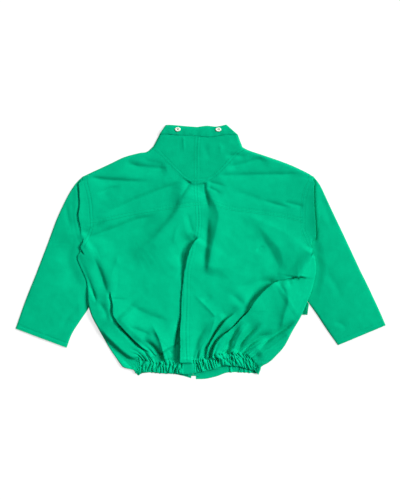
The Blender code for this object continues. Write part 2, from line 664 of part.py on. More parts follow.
def sleeve(name, side, sections, arm_yoke, arm_low):
    """A flat tube of cloth from the armhole seam to the cuff."""
    arm = join(spline(arm_yoke, 24), spline(arm_low, 16))
    top_cols = 9
    low_cols = 6
    tops = [0.02 + 0.96 * (0.5 - 0.5 * cos(pi * k / (top_cols - 1))) for k in range(top_cols)]
    lows = [0.98 - 0.96 * (0.5 - 0.5 * cos(pi * k / (low_cols - 1))) for k in range(low_cols)]
    marks = [(s, 1.0) for s in tops] + [(1.0, 0.5)] + [(s, 0.0) for s in lows] + [(0.0, 0.5)]
    outer = []
    inner = []
    for row in range(len(sections) + 1):
        ring_out = []
        ring_in = []
        sec = sections[max(row - 1, 0)]
        a = Vector((sec.out_x, sec.out_y))
        b = Vector((sec.in_x, sec.in_y))
        if row == 0:
            width = (arm[0] - arm[-1]).length
        else:
            width = (a - b).length
        across = (b - a).normalized()
        away = Vector((side * abs(across.y), -abs(across.x)))
        for s, face in marks:
            for ring, shrink in ((ring_out, 0.0), (ring_in, WALL)):
                t = shrink / width + s * (1 - 2 * shrink / width)
                if row == 0:
                    p = spaced(arm, [0.004 + t * 0.992])[0] + Vector((side * (SEAM * 4), 0.0))
                    seam_z = back_top(p.x, p.y)
                    drop = ease((t - 0.80) / 0.17)
                    high = seam_z * (1 - drop) + SLEEVE_EDGE * drop
                    high = max(high * ease(t / 0.05 + 0.3), SLEEVE_EDGE)
                else:
                    p = a.lerp(b, t) + away * (sec.bow * 4 * t * (1 - t))
                    high = SLEEVE_EDGE + (sec.high - SLEEVE_EDGE) * sqrt(max(sin(pi * t), 0.0))
                    under = distance(p.x, p.y, SLEEVE_COVER[name])
                    inside = covered(name, p)
                    high = high if not inside else min(high, SLEEVE_EDGE)
                    if not inside:
                        high = SLEEVE_EDGE + (high - SLEEVE_EDGE) * ease((under - 10.0) / 28.0)
                if shrink == 0.0:
                    z = high * face
                else:
                    z = WALL + (high - 2 * WALL) * face
                ring.append(Vector((p.x, p.y, z)))
        outer.append(ring_out)
        inner.append(ring_in)
    return sheet(name, outer, inner, ring=True)


SLEEVE_COVER = {
    "sleeve_left": spline(EDGE_L, 40),
    "sleeve_right": spline(EDGE_R, 40),
}


def covered(name, p):
    """Whether the body's folded side lies over this place of a sleeve."""
    line = SLEEVE_COVER[name]
    if not (line[-1].y < p.y < line[0].y):
        return False
    x = None
    for a, b in zip(line, line[1:]):
        if b.y <= p.y <= a.y:
            x = a.x + (b.x - a.x) * (a.y - p.y) / max(a.y - b.y, 1e-9)
            break
    if x is None:
        return False
    return p.x > x - 3.0 if x < 0 else p.x < x + 3.0


def collar_band():
    """The band round the collar's top, flattened, and open at the zip."""
    rows = 3
    low_line = list(reversed(spline(BAND_LOW_L, 60))) + spline(BAND_LOW_R, 60)[1:]
    top_line = list(reversed(spline(BAND_TOP_L, 60))) + spline(BAND_TOP_R, 60)[1:]
    outer = []
    inner = []
    half = BAND_HIGH / 2
    bends = (30, 60, 90, 120, 150)
    for j in range(rows + 1):
        v = j / rows
        x_left = low_line[0].x * (1 - v) + top_line[0].x * v
        x_right = low_line[-1].x * (1 - v) + top_line[-1].x * v
        stations = []
        for k in range(7):
            stations.append((OPEN_L + (x_left + half - OPEN_L) * k / 6, 0.0, 0.0, 1.0))
        for deg in bends:
            a = deg * pi / 180
            stations.append((x_left + half - half * sin(a), half - half * cos(a), sin(a), cos(a)))
        for k in range(15):
            x = x_left + half + (x_right - x_left - BAND_HIGH) * k / 14
            stations.append((x, BAND_HIGH, 0.0, -1.0))
        for deg in reversed(bends):
            a = deg * pi / 180
            stations.append((x_right - half + half * sin(a), half - half * cos(a), -sin(a), cos(a)))
        for k in range(7):
            stations.append((x_right - half + (OPEN_R - x_right + half) * k / 6, 0.0, 0.0, 1.0))
        out_row = []
        in_row = []
        for x, z, nx, nz in stations:
            f = (x - x_left) / (x_right - x_left)
            x_low = low_line[0].x + (low_line[-1].x - low_line[0].x) * f
            x_top = top_line[0].x + (top_line[-1].x - top_line[0].x) * f
            y = (at_x(low_line, x_low) + 3 * SEAM) * (1 - v) + at_x(top_line, x_top) * v
            out_row.append(Vector((x, y, z)))
            in_row.append(Vector((x + nx * WALL, y, z + nz * WALL)))
        outer.append(out_row)
        inner.append(in_row)
    return sheet("collar_band", outer, inner)


def collar_front(name, opening_x, neck, side, band):
    """Front half of the standing collar, flat under the neck insert."""
    low = spline(neck, FRONT_NECK_COLS)
    line = spline(band, 40)
    high = []
    for k in range(FRONT_NECK_COLS + 1):
        x = opening_x + (line[-1].x - opening_x) * k / FRONT_NECK_COLS
        high.append(Vector((x, at_x(line, x))))
    inside = [Vector((opening_x, low[0].y + (high[0].y - low[0].y) * j / 4)) for j in range(5)]
    outside = spline(side, 4)
    grid = inset(coons(low, high, inside, outside), SEAM)
    bottom = [[Vector((p.x, p.y, 0.0)) for p in row] for row in grid]
    top = [[Vector((p.x, p.y, WALL)) for p in row] for row in grid]
    return sheet(name, bottom, top)


def block(name, x0, x1, y0, y1, z0, z1, colour, cols=1, rows=12):
    """A straight strip of tape or chain."""
    grid = []
    for j in range(rows + 1):
        y = y0 + (y1 - y0) * j / rows
        grid.append([Vector((x0 + (x1 - x0) * i / cols, y, z1)) for i in range(cols + 1)])
    under = [[Vector((p.x, p.y, z0)) for p in row] for row in grid]
    return sheet(name, grid, under, colour)


def pocket_flap(flap):
    """A flap flat on the surface, under the front that it is sewn to."""
    low = [Vector((flap.x_in + (flap.x_out - flap.x_in) * k / 6, flap.y_low)) for k in range(7)]
    high = [Vector((flap.x_in + (flap.x_out_top - flap.x_in) * k / 6, flap.y_high)) for k in range(7)]
    inside = [low[0].lerp(high[0], k / 2) for k in range(3)]
    outside = [low[-1].lerp(high[-1], k / 2) for k in range(3)]
    grid = coons(low, high, inside, outside)
    bottom = [[Vector((p.x, p.y, 0.0)) for p in row] for row in grid]
    top = [[Vector((p.x, p.y, WALL)) for p in row] for row in grid]
    return sheet("pocket_flap_" + flap.side, bottom, top)


def snap(side, x, y):
    """A press stud's cap, turned, on the outer face of the band."""
    count = 16
    bm = bmesh.new()
    bmesh.ops.create_circle(bm, cap_ends=True, segments=count, radius=SNAP_PROFILE[0].radius * MM)
    faces = bm.faces[:]
    bmesh.ops.translate(bm, verts=bm.verts[:], vec=Vector((0.0, 0.0, SNAP_PROFILE[0].z * MM)))
    last = SNAP_PROFILE[0]
    for number, step in enumerate(SNAP_PROFILE[1:]):
        made = bmesh.ops.extrude_face_region(bm, geom=faces)
        ring = [g for g in made["geom"] if isinstance(g, bmesh.types.BMVert)]
        if number > 0:
            bmesh.ops.delete(bm, geom=faces, context="FACES_ONLY")
        faces = [g for g in made["geom"] if isinstance(g, bmesh.types.BMFace)]
        for vert in ring:
            vert.co.x *= step.radius / last.radius
            vert.co.y *= step.radius / last.radius
            vert.co.z = step.z * MM
        last = step
    base = BAND_HIGH + 0.3
    bmesh.ops.translate(bm, verts=bm.verts[:], vec=Vector((x * MM, y * MM, base * MM)))
    return finish(bm, "snap_" + side, SNAP_WHITE, 0.35)


# -------------------------------------------------------------------- build
for item in list(bpy.data.objects):
    bpy.data.objects.remove(item, do_unlink=True)

JACKET = bpy.data.collections.new("flight_jacket")
bpy.context.scene.collection.children.link(JACKET)

back_lower("back_lower_left", CASING_TOP_L, SIDE_L, ARM_LOW_L, YOKE_L)
back_lower("back_lower_right", CASING_TOP_R, SIDE_R, ARM_LOW_R, YOKE_R)
back_yoke("back_yoke_left", YOKE_L, ARM_YOKE_L, SHOULDER_L, FUNNEL_L)
back_yoke("back_yoke_right", YOKE_R, ARM_YOKE_R, SHOULDER_R, FUNNEL_R)
neck_insert("neck_insert_left", FUNNEL_L, NECK_SIDE_L, BAND_LOW_L)
neck_insert("neck_insert_right", FUNNEL_R, NECK_SIDE_R, BAND_LOW_R)
collar_band()
collar_front("collar_front_left", OPEN_L, FRONT_NECK_L, NECK_SIDE_L, BAND_LOW_L)
collar_front("collar_front_right", OPEN_R, FRONT_NECK_R, NECK_SIDE_R, BAND_LOW_R)
front("front_left", -1.0, FRONT_HEM_L, OPEN_L, FRONT_NECK_L, SHOULDER_L, ARM_YOKE_L, ARM_LOW_L, EDGE_L, SIDE_L)
front("front_right", 1.0, FRONT_HEM_R, OPEN_R, FRONT_NECK_R, SHOULDER_R, ARM_YOKE_R, ARM_LOW_R, EDGE_R, SIDE_R)
sleeve("sleeve_left", -1.0, SLEEVE_L, ARM_YOKE_L, ARM_LOW_L)
sleeve("sleeve_right", 1.0, SLEEVE_R, ARM_YOKE_R, ARM_LOW_R)
hem_back()
hem_front("hem_front_left", FRONT_LOW_L, FRONT_HEM_L, HEM_EDGE_L, FRONT_GATHER_L, 4, ((-150, -256), (-146, -292)))
hem_front("hem_front_right", FRONT_LOW_R, FRONT_HEM_R, HEM_EDGE_R, FRONT_GATHER_R, 6, ((128, -258), (130, -287)))
block("zip_tape_left", ZIP_X - 14.0, ZIP_X - 0.15, ZIP_LOW, ZIP_HIGH, TAPE_Z, TAPE_Z + TAPE_WALL, ZIP_GREEN)
block("zip_tape_right", ZIP_X + 0.15, ZIP_X + 14.0, ZIP_LOW, ZIP_HIGH, TAPE_Z, TAPE_Z + TAPE_WALL, ZIP_GREEN)
block("zip_chain", ZIP_X - CHAIN_HALF, ZIP_X + CHAIN_HALF, ZIP_LOW, ZIP_HIGH, 0.2, TAPE_Z - 0.3, ZIP_GREEN)
for flap_row in FLAPS:
    pocket_flap(flap_row)
for snap_side, snap_x, snap_y in SNAPS:
    snap(snap_side, snap_x, snap_y)
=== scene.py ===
# The looks of a green cotton flight jacket that lies flat on its front, seen from above.
#
# Tables of seams are in millimetres, +X to the right and +Y towards the collar, as the
# solids have them.  Folds are read off the photograph in its pixels: PIXEL is the size of
# one on the jacket, and MIDDLE is the pixel that lies at the origin.
from collections import namedtuple
from math import pi, radians

import bmesh
import bpy
import numpy as np
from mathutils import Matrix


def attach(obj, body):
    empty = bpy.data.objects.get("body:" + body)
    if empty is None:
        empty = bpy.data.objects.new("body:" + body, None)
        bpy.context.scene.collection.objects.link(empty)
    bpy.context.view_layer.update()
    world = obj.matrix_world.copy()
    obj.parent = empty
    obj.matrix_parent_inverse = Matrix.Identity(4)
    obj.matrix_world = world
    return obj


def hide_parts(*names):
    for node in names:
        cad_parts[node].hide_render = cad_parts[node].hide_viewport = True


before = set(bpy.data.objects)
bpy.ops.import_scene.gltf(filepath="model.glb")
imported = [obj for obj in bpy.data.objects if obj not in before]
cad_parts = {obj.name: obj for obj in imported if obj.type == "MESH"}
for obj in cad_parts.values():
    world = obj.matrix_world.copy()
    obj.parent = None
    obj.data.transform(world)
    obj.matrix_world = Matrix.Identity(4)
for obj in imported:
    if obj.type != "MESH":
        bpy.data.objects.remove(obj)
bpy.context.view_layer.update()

MM = 0.001
PIXEL = 2.4
MIDDLE = (200.6, 252.0)
THICK = 0.5           # one layer of the cloth
DOUBLED = 0.9         # a doubled one, pressed
FOLD_HIGH = 6.8       # height of the upper cloth where it lies flat on the lower
EDGE_HIGH = 1.1       # and where its closed outline ends
TUCK = 4.2            # how far the body's side is lifted by the sleeve below it
FLAP_LIFT = 1.95      # how far a pocket flap lifts the front above it
SLEEVE_EDGE = 3.8     # height of a sleeve at its folded edges
CUFF_HEM = 10.0       # how far the cuff's line of stitches is from its edge
BAND_HIGH = 7.0       # height of the flattened collar band
SEAM_ROUND = 7.0      # how far the upper cloth takes to round down to a seam on the outline
FRONT_FOLD = 4.5      # radius of a front's folded side
HEM_FOLD = 3.4        # radius of the front casing's folded end
ZIP_X = -17.0
ZIP_LOW = -298.0
ZIP_HIGH = 299.0
TAPE_WIDE = 14.0
TAPE_GAP = 0.15
OPEN_L = -22.5        # the fronts' edges beside the zip
OPEN_R = -11.5
FINE = 1.6            # space between the points of the lower back
COARSE = 2.0          # and of the yoke and the neck insert

# ---------------------------------------------------------------- seam lines
CENTRE_NECK = ((-8, 279), (-10, 245), (-10, 178))
CENTRE_YOKE = ((-10, 178), (-10, 150), (-8, 121))
CENTRE_LOW = ((-8, 121), (-6, 65), (-15, 12), (-28, -43), (-31, -115), (-33, -187), (-31, -263))
YOKE_L = ((-8, 121), (-42, 116), (-85, 110), (-133, 103), (-181, 94), (-229, 83), (-265, 79))
YOKE_R = ((-8, 121), (30, 121), (66, 110), (119, 103), (171, 96), (210, 89), (246, 79))
FUNNEL_L = ((-10, 178), (-29, 177), (-52, 197), (-78, 223), (-102, 248), (-114, 254))
FUNNEL_R = ((-10, 178), (13, 178), (35, 191), (59, 215), (80, 238), (101, 252))
BAND_TOP_L = ((-8, 300), (-35, 302), (-69, 305), (-84, 305))
BAND_TOP_R = ((-8, 300), (15, 303), (38, 301), (62, 306))
BAND_LOW_L = ((-8, 279), (-49, 280), (-73, 282), (-99, 283))
BAND_LOW_R = ((-8, 279), (15, 276), (39, 278), (61, 281), (90, 281))
NECK_SIDE_L = ((-114, 254), (-105, 271), (-99, 283))
NECK_SIDE_R = ((101, 252), (94, 270), (90, 281))
SHOULDER_L = ((-114, 254), (-129, 241), (-148, 238), (-184, 228), (-220, 211), (-261, 192), (-282, 182))
SHOULDER_R = ((101, 252), (117, 244), (159, 230), (212, 211), (253, 192), (270, 182))
ARM_YOKE_L = ((-282, 182), (-274, 154), (-267, 118), (-265, 79))
ARM_YOKE_R = ((270, 182), (254, 154), (247, 118), (246, 79))
ARM_LOW_L = ((-265, 79), (-268, 53), (-288, 12))
ARM_LOW_R = ((246, 79), (248, 48), (269, 10))
SIDE_L = ((-288, 12), (-270, -24), (-251, -70), (-239, -115), (-225, -158), (-193, -204), (-150, -256))
SIDE_R = ((269, 10), (260, -24), (253, -60), (239, -108), (215, -168), (174, -214), (128, -258))
EDGE_L = ((-288, 12), (-296, -14), (-285, -43), (-273, -74), (-270, -122), (-261, -154), (-241, -192),
          (-220, -230), (-196, -265))
EDGE_R = ((269, 10), (275, -18), (277, -48), (267, -91), (255, -122), (239, -158), (219, -192),
          (200, -228), (171, -260))
CASING_TOP_L = ((-31, -263), (-61, -270), (-97, -268), (-121, -263), (-150, -256))
CASING_TOP_R = ((-31, -263), (-1, -259), (20, -253), (51, -244), (95, -244), (128, -258))
CASING_LOW_L = ((-31, -295), (-61, -293), (-97, -292), (-121, -290), (-146, -292))
CASING_LOW_R = ((-31, -295), (-6, -290), (15, -286), (39, -280), (56, -274), (95, -277), (130, -287))
HEM_EDGE_L = ((-196, -265), (-186, -277), (-167, -282), (-161, -284), (-156, -292))
HEM_EDGE_R = ((171, -260), (158, -269), (147, -273), (144, -283), (139, -295))
FRONT_LOW_L = ((-22.5, -304), (-42, -298), (-73, -292), (-121, -289), (-141, -291), (-149, -296),
               (-157, -292))
FRONT_LOW_R = ((-11.5, -306), (13, -305), (39, -299), (66, -290), (107, -290), (142, -293))
FRONT_HEM_L = ((-22.5, -272), (-121, -264), (-196, -265))
FRONT_HEM_R = ((-11.5, -272), (95, -262), (171, -260))
FRONT_NECK_L = ((-22.5, 158), (-54, 173), (-85, 206), (-114, 254))
FRONT_NECK_R = ((-11.5, 158), (27, 173), (66, 206), (101, 252))

# A cut across a sleeve from its outer to its inner edge.  Bow is how far the cloth reaches
# past the straight line between them, and high how tall the sleeve stands there.
Section = namedtuple("Section", "out_x out_y in_x in_y bow high")
SLEEVE_L = [Section(*row) for row in (
    (-284.0, 181.0, -283.0, 8.0, 4.0, 8.0),
    (-300.0, 165.0, -280.0, -2.0, 12.0, 5.6),
    (-316.0, 141.0, -279.0, -8.0, 12.0, 6.2),
    (-331.0, 112.0, -278.0, -14.0, 9.0, 6.8),
    (-346.0, 79.0, -276.0, -22.0, 6.0, 7.0),
    (-358.0, 47.0, -273.0, -33.0, 3.0, 7.0),
    (-371.0, 12.0, -268.0, -46.0, 0.0, 6.8),
    (-384.0, -22.0, -255.0, -72.0, 0.0, 6.6),
    (-397.0, -56.0, -258.0, -105.0, 0.0, 6.8),
    (-410.0, -88.0, -269.0, -134.0, 0.0, 7.0),
    (-424.0, -124.0, -290.0, -166.0, 0.0, 6.6),
    (-436.0, -158.0, -309.0, -196.0, 0.0, 6.0),
    (-445.0, -184.0, -322.0, -230.0, 0.0, 5.2),
)]
SLEEVE_R = [Section(*row) for row in (
    (272.0, 181.0, 266.0, 8.0, 2.0, 8.0),
    (287.0, 161.0, 264.0, -2.0, 8.0, 5.6),
    (301.0, 132.0, 263.0, -9.0, 9.0, 6.2),
    (314.0, 104.0, 262.0, -16.0, 8.0, 6.8),
    (329.0, 72.0, 260.0, -24.0, 6.0, 7.0),
    (343.0, 43.0, 257.0, -34.0, 3.0, 7.0),
    (357.0, 13.0, 253.0, -47.0, 0.0, 6.8),
    (371.0, -17.0, 240.0, -72.0, 0.0, 6.6),
    (385.0, -47.0, 243.0, -98.0, 0.0, 6.8),
    (400.0, -77.0, 258.0, -120.0, 0.0, 7.0),
    (415.0, -109.0, 280.0, -151.0, 0.0, 6.6),
    (430.0, -141.0, 303.0, -186.0, 0.0, 6.0),
    (445.0, -176.0, 330.0, -224.0, 0.0, 5.2),
)]

Flap = namedtuple("Flap", "side x_in x_out x_out_mid x_out_top y_low y_mid y_high")
FLAPS = (Flap("left", -118, -254, -254, -254, -151, -125, -113),
         Flap("right", 118, 256.5, 260, 253, -151, -125, -113))
CURL_FROM = 245       # where the right flap's corner starts to curl up
SNAPS = (("left", -55.0, 294.0), ("right", 42.5, 293.5))

Gather = namedtuple("Gather", "x_from x_to seed lean")
BACK_GATHERS = (Gather(-150, -41, 3, 3.0), Gather(-15, 132, 8, -6.0))

# What makes up one half of the jacket.  Way is -1 on the left and 1 on the right.
Half = namedtuple("Half", "name way casing side edge arm_low arm_yoke yoke shoulder funnel neck_side "
                          "band opening front_neck front_hem front_low hem_edge casing_end gather sections")
HALVES = (
    Half("left", -1.0, CASING_TOP_L, SIDE_L, EDGE_L, ARM_LOW_L, ARM_YOKE_L, YOKE_L, SHOULDER_L, FUNNEL_L,
         NECK_SIDE_L, BAND_LOW_L, OPEN_L, FRONT_NECK_L, FRONT_HEM_L, FRONT_LOW_L, HEM_EDGE_L,
         ((-150, -256), (-146, -292)), Gather(-158, -62, 5, 2.0), SLEEVE_L),
    Half("right", 1.0, CASING_TOP_R, SIDE_R, EDGE_R, ARM_LOW_R, ARM_YOKE_R, YOKE_R, SHOULDER_R, FUNNEL_R,
         NECK_SIDE_R, BAND_LOW_R, OPEN_R, FRONT_NECK_R, FRONT_HEM_R, FRONT_LOW_R, HEM_EDGE_R,
         ((128, -258), (130, -287)), Gather(68, 146, 6, 3.0), SLEEVE_R))

# Twin-needle seams.  The doubled band lies to the left of a seam's line for band = 1, and to
# its right for -1.  First and second are how far the rows of stitches are to its left.
Seam = namedtuple("Seam", "knots band first second")
SEAMS = [Seam(*row) for row in (
    (YOKE_L, 1, 1.6, 8.6), (YOKE_R, -1, -1.6, -8.6), (FUNNEL_L, 1, 1.6, 8.0), (FUNNEL_R, -1, -1.6, -8.0),
    (CENTRE_LOW, 1, 1.5, -5.0), (CENTRE_YOKE, 1, 1.5, -5.0), (CENTRE_NECK, 1, 1.5, -5.0),
    (ARM_YOKE_L, 1, 1.6, 8.4), (ARM_YOKE_R, -1, -1.6, -8.4), (ARM_LOW_L, 1, 1.6, 8.4),
    (ARM_LOW_R, -1, -1.6, -8.4),
)]

SEAM_REACH = 16.0
SEAM_RISE = 0.12      # of the doubled band
SEAM_GROOVES = (0.8, 6.8)
SEAM_SUNK = 0.5       # depth of the grooves that the stitches lie in
SEAM_PUCKER = 0.12

# Where air under the back swells it (or lets it sink), as a smooth mound.
Dome = namedtuple("Dome", "x y reach_x reach_y rise")
DOMES = (Dome(-5, -30, 190, 150, 4.0), Dome(20, -170, 150, 90, 4.0), Dome(32, -290, 48, 60, 2.0),
         Dome(-203, -130, 32, 80, 6.0), Dome(215, -110, 36, 90, 3.0),
         Dome(-290, -50, 26, 75, -3.2), Dome(277, -50, 26, 75, -3.2))

# ------------------------------------------------------------------- folds
# A fold rises (or sinks) along its points and falls away over `left` and `right`
# millimetres to either side, as seen on the way along it.  Power 1 is a crisp crease
# and 2 a soft one; start and end are the shares of its length over which it fades.
Fold = namedtuple("Fold", "name rise left right power start end points")
FOLDS = [Fold(*row) for row in (
    ("shoulder drag", -5.4, 4, 14, 1.2, .2, .5, ((87, 175.8), (102, 179.2), (127, 180.8), (157, 181.7))),
    ("collar drag", -5.0, 5, 16, 1.2, .3, .2, ((124, 161.5), (137, 165.8), (152, 167.5), (168, 168.7))),
    ("collar drag soft", -1.5, 5, 10, 1.5, .3, .3, ((140, 159), (157, 163.3), (167, 166))),
    ("yoke drag", -6.0, 20, 6, 1.3, .2, .3,
     ((184, 181.7), (160, 190), (135, 200), (113, 210), (102, 215.5))),
    ("armhole small", -3.6, 4, 10, 1.3, .4, .4, ((96, 195), (110, 188.3), (122, 186.7))),
    ("armhole trough", -10.0, 7, 32, 1.3, .12, .35,
     ((84, 242.4), (93, 238.3), (113, 230.3), (137, 221), (162, 213))),
    ("armhole dark line", -5.2, 4, 10, 1.1, .2, .5, ((82, 235), (92, 228.5), (107, 219))),
    ("pleat left", 9.4, 36, 18, 1.4, .16, .35,
     ((190, 182), (187, 188), (184, 196), (181.5, 205), (178, 213), (171, 222), (161, 233), (151, 243),
      (140, 251), (127, 257))),
    ("pleat valley left", -3.0, 8, 22, 1.5, .3, .4,
     ((187, 186), (179, 197), (173, 209), (164, 221), (153, 234), (141, 246))),
    ("chest ridge", 2.0, 16, 6, 1.3, .3, .5, ((118, 254), (117, 262), (113, 271), (111, 282))),
    ("belly line", -1.8, 3, 9, 1.0, .2, .6, ((112, 298), (122, 299), (131, 300))),
    ("belly trough", -4.2, 9, 24, 1.6, .3, .3, ((124, 302), (143, 313), (172, 324))),
    ("belly patch", -5.0, 7, 16, 1.6, .4, .3, ((126, 326), (140, 331), (153, 337))),
    ("hem ridge left", 6.0, 16, 5, 1.2, .45, .05, ((150, 320), (157, 333), (162, 346), (165, 361))),
    ("hem trough left", -9.5, 6, 15, 1.3, .4, .05, ((141, 338), (151, 345), (157, 352), (161, 362))),
    ("hem ridge outer", 3.0, 8, 5, 1.3, .4, .05, ((134, 340), (144, 351), (151, 361))),
    ("hem end a", -6.0, 4, 5, 1.1, .3, .2, ((121, 363), (131, 360.5), (142, 356))),
    ("hem end b", -5.0, 4, 5, 1.1, .3, .2, ((127, 369), (135, 364), (146, 362))),
    ("hem end c", -5.0, 3, 4, 1.1, .3, .3, ((134, 371), (139, 366), (143, 368))),
    ("side trough", -6.5, 6, 16, 1.3, .45, .3, ((91.5, 252), (96, 263), (102, 278), (108, 296))),
    ("side facet", -2.6, 7, 7, 1.4, .3, .4, ((98, 301), (105, 311), (108, 323))),
    ("strip slope", 9.5, 46, 14, 1.5, .12, .06,
     ((119, 314), (130, 326), (140, 335.5), (149.5, 344), (157, 357))),
    ("side crease", -6.0, 3, 3, 1.1, .3, .3, ((84, 274), (88.3, 281.7), (92, 290), (97, 303))),
    ("centre light", 0.5, 6, 4, 1.2, .4, .4, ((182, 212), (184.5, 224), (187, 238))),
    ("pleat core left", -4.5, 5, 10, 1.2, .1, .5, ((190.5, 181.5), (187, 187), (183, 194), (180, 202))),
    ("centre dark", -1.7, 5, 7, 1.3, .3, .2, ((187, 212), (189.5, 222), (193, 234))),
    ("centre left", 1.8, 8, 5, 1.3, .4, .4, ((180, 222), (176, 232), (173, 246))),
    ("centre wedge", -7.5, 5, 18, 1.3, .25, .4, ((194, 239), (186, 247), (182, 254), (180, 268))),
    ("hem hollow centre", -8.5, 6, 12, 1.3, .5, .05, ((178, 328), (175.5, 345), (173, 362))),
    ("pleat right", 8.0, 38, 14, 1.15, .25, .12,
     ((205, 182), (210, 194), (216, 206), (219, 216), (216, 232), (212, 250), (207, 276))),
    ("pleat core right", -6.5, 5, 12, 1.2, .1, .5, ((203, 182), (204.5, 190), (207, 200), (209, 212))),
    ("pleat core low", -6.4, 6, 14, 1.4, .35, .3,
     ((208, 212), (207.5, 228), (207, 240), (205.5, 256), (204, 276))),
    ("yoke drag right", -4.0, 5, 13, 1.2, .15, .2, ((217, 175.5), (262, 174.6), (304, 174))),
    ("collar drag right", -4.6, 6, 14, 1.3, .25, .2, ((225, 168), (245, 163.3), (268, 156))),
    ("collar small", -2.6, 4, 9, 1.2, .3, .3, ((225, 157.5), (232, 155), (248, 156.7))),
    ("insert ray a", -3.0, 4, 8, 1.1, .2, .5, ((207, 181.3), (217, 184), (229, 187.5))),
    ("insert ray b", -2.9, 4, 8, 1.1, .2, .5, ((207, 186.3), (215, 190.5), (224, 196))),
    ("insert ray c", -1.4, 6, 10, 1.4, .4, .4, ((230, 190), (250, 196), (270, 203.5))),
    ("arm ray a", -3.0, 4, 8, 1.2, .4, .3, ((260, 199.5), (275, 204), (292, 208.5))),
    ("arm ray b", -2.4, 4, 7, 1.2, .4, .2, ((281, 201), (292, 204), (303, 207))),
    ("below yoke", 1.6, 9, 14, 1.4, .3, .3, ((238, 212), (262, 222), (285, 234), (305, 245))),
    ("wedge", 3.8, 30, 12, 1.2, .2, .35,
     ((256, 222), (264, 231), (272, 240), (279, 248), (282, 256), (283, 264), (283, 273))),
    ("wedge valley", -3.0, 9, 20, 1.4, .4, .3,
     ((257, 228), (264, 241), (271, 252), (277, 265), (279, 274))),
    ("little mark", -2.0, 3, 5, 1.2, .4, .4, ((256, 252), (260, 248), (265, 246))),
    ("facet plane", 10.5, 14, 20, 1.4, .2, .07,
     ((314.5, 249), (309, 259), (304, 267.5), (301, 273), (300, 278))),
    ("facet foot", -3.0, 14, 10, 1.4, .5, .5, ((281, 275), (288, 270), (297, 261), (305, 254))),
    ("big valley", -6.0, 8, 20, 1.3, .3, .4, ((276, 281), (265, 288.5), (255, 298), (247, 306))),
    ("belly ridge", 2.0, 6, 4, 1.1, .4, .1, ((193, 293), (206, 306), (216, 317))),
    ("belly crest", 2.6, 4, 5, 1.1, .2, .3, ((216, 316.5), (213, 326), (209, 340), (205, 352))),
    ("inner hollow", -6.0, 8, 12, 1.4, .4, .05, ((211, 319), (202, 331), (196.5, 343), (194, 360))),
    ("flank curve", 5.4, 22, 8, 1.2, .15, .25,
     ((277, 281), (284, 287), (288, 297), (287, 306), (284, 315), (282, 325), (277, 334))),
    ("flank small", -2.4, 5, 5, 1.4, .3, .5, ((288, 277), (289.5, 283), (290, 289))),
    ("hem fold a", -9.5, 4, 10, 1.2, .4, .05, ((244, 322), (237, 331), (231, 341), (227, 355))),
    ("hem fold b", -9.0, 4, 10, 1.3, .4, .1, ((262, 322), (252, 331), (243, 341), (236, 354))),
    ("hem fold c", -10.0, 4, 9, 1.2, .4, .05, ((274, 333), (260, 338), (249, 346), (241, 355))),
    ("hem fold d", -10.0, 4, 9, 1.2, .3, .3, ((297, 319), (286, 328), (271, 338), (258, 350))),
    ("hem light", 6.5, 8, 7, 1.0, .25, .15, ((296, 328), (284, 338), (271, 347), (256, 357))),
    ("hem ridge a", 4.6, 10, 4, 1.1, .4, .05, ((250, 322), (243, 331), (237, 341), (233, 355))),
    ("hem ridge b", 3.8, 10, 4, 1.1, .4, .05, ((267, 324), (257, 332), (248, 342), (241, 355))),
    ("hem ridge c", 4.4, 8, 4, 1.1, .4, .05, ((278, 336), (265, 341), (254, 349), (247, 356))),
    ("belly mid a", -2.0, 6, 9, 1.5, .4, .4, ((200, 303), (206, 298), (213, 294))),
    ("belly mid b", -2.8, 8, 9, 1.5, .4, .4, ((228, 293), (237, 299), (247, 308))),
    ("belly mid c", -4.4, 12, 9, 1.6, .4, .3, ((238, 304), (230, 312), (220, 318))),
    ("belly mid d", -2.4, 8, 9, 1.6, .4, .3, ((232, 290), (251, 284), (272, 278))),
    ("collar crease", 1.3, 3, 3, 1.1, .2, .4, ((183.5, 136), (183.6, 143), (184.3, 152))),
    ("collar soft a", -1.0, 6, 7, 1.6, .4, .4, ((207, 143), (206, 150), (209, 160))),
    ("collar soft b", 1.0, 5, 5, 1.5, .4, .4, ((217, 144), (221, 148), (220, 156))),
    ("sleeve hollow left", -6.6, 14, 34, 1.7, .3, .3,
     ((73, 232), (71, 250), (76, 266), (83, 282), (87, 296))),
    ("sleeve crease left", -1.9, 7, 7, 1.5, .3, .4, ((81, 304), (68, 317), (61, 331))),
    ("sleeve top left", -1.7, 6, 6, 1.5, .3, .4, ((66, 202), (67, 215), (71, 230))),
    ("sleeve top right", -1.5, 8, 8, 1.7, .3, .5, ((322, 196), (327, 211), (334, 230))),
    ("sleeve mid right", -1.5, 9, 9, 1.7, .4, .5, ((322, 268), (334, 283), (345, 303))),
    ("sleeve cuff right", -1.2, 6, 6, 1.5, .4, .4, ((332, 322), (341, 324), (348, 330))),
)]

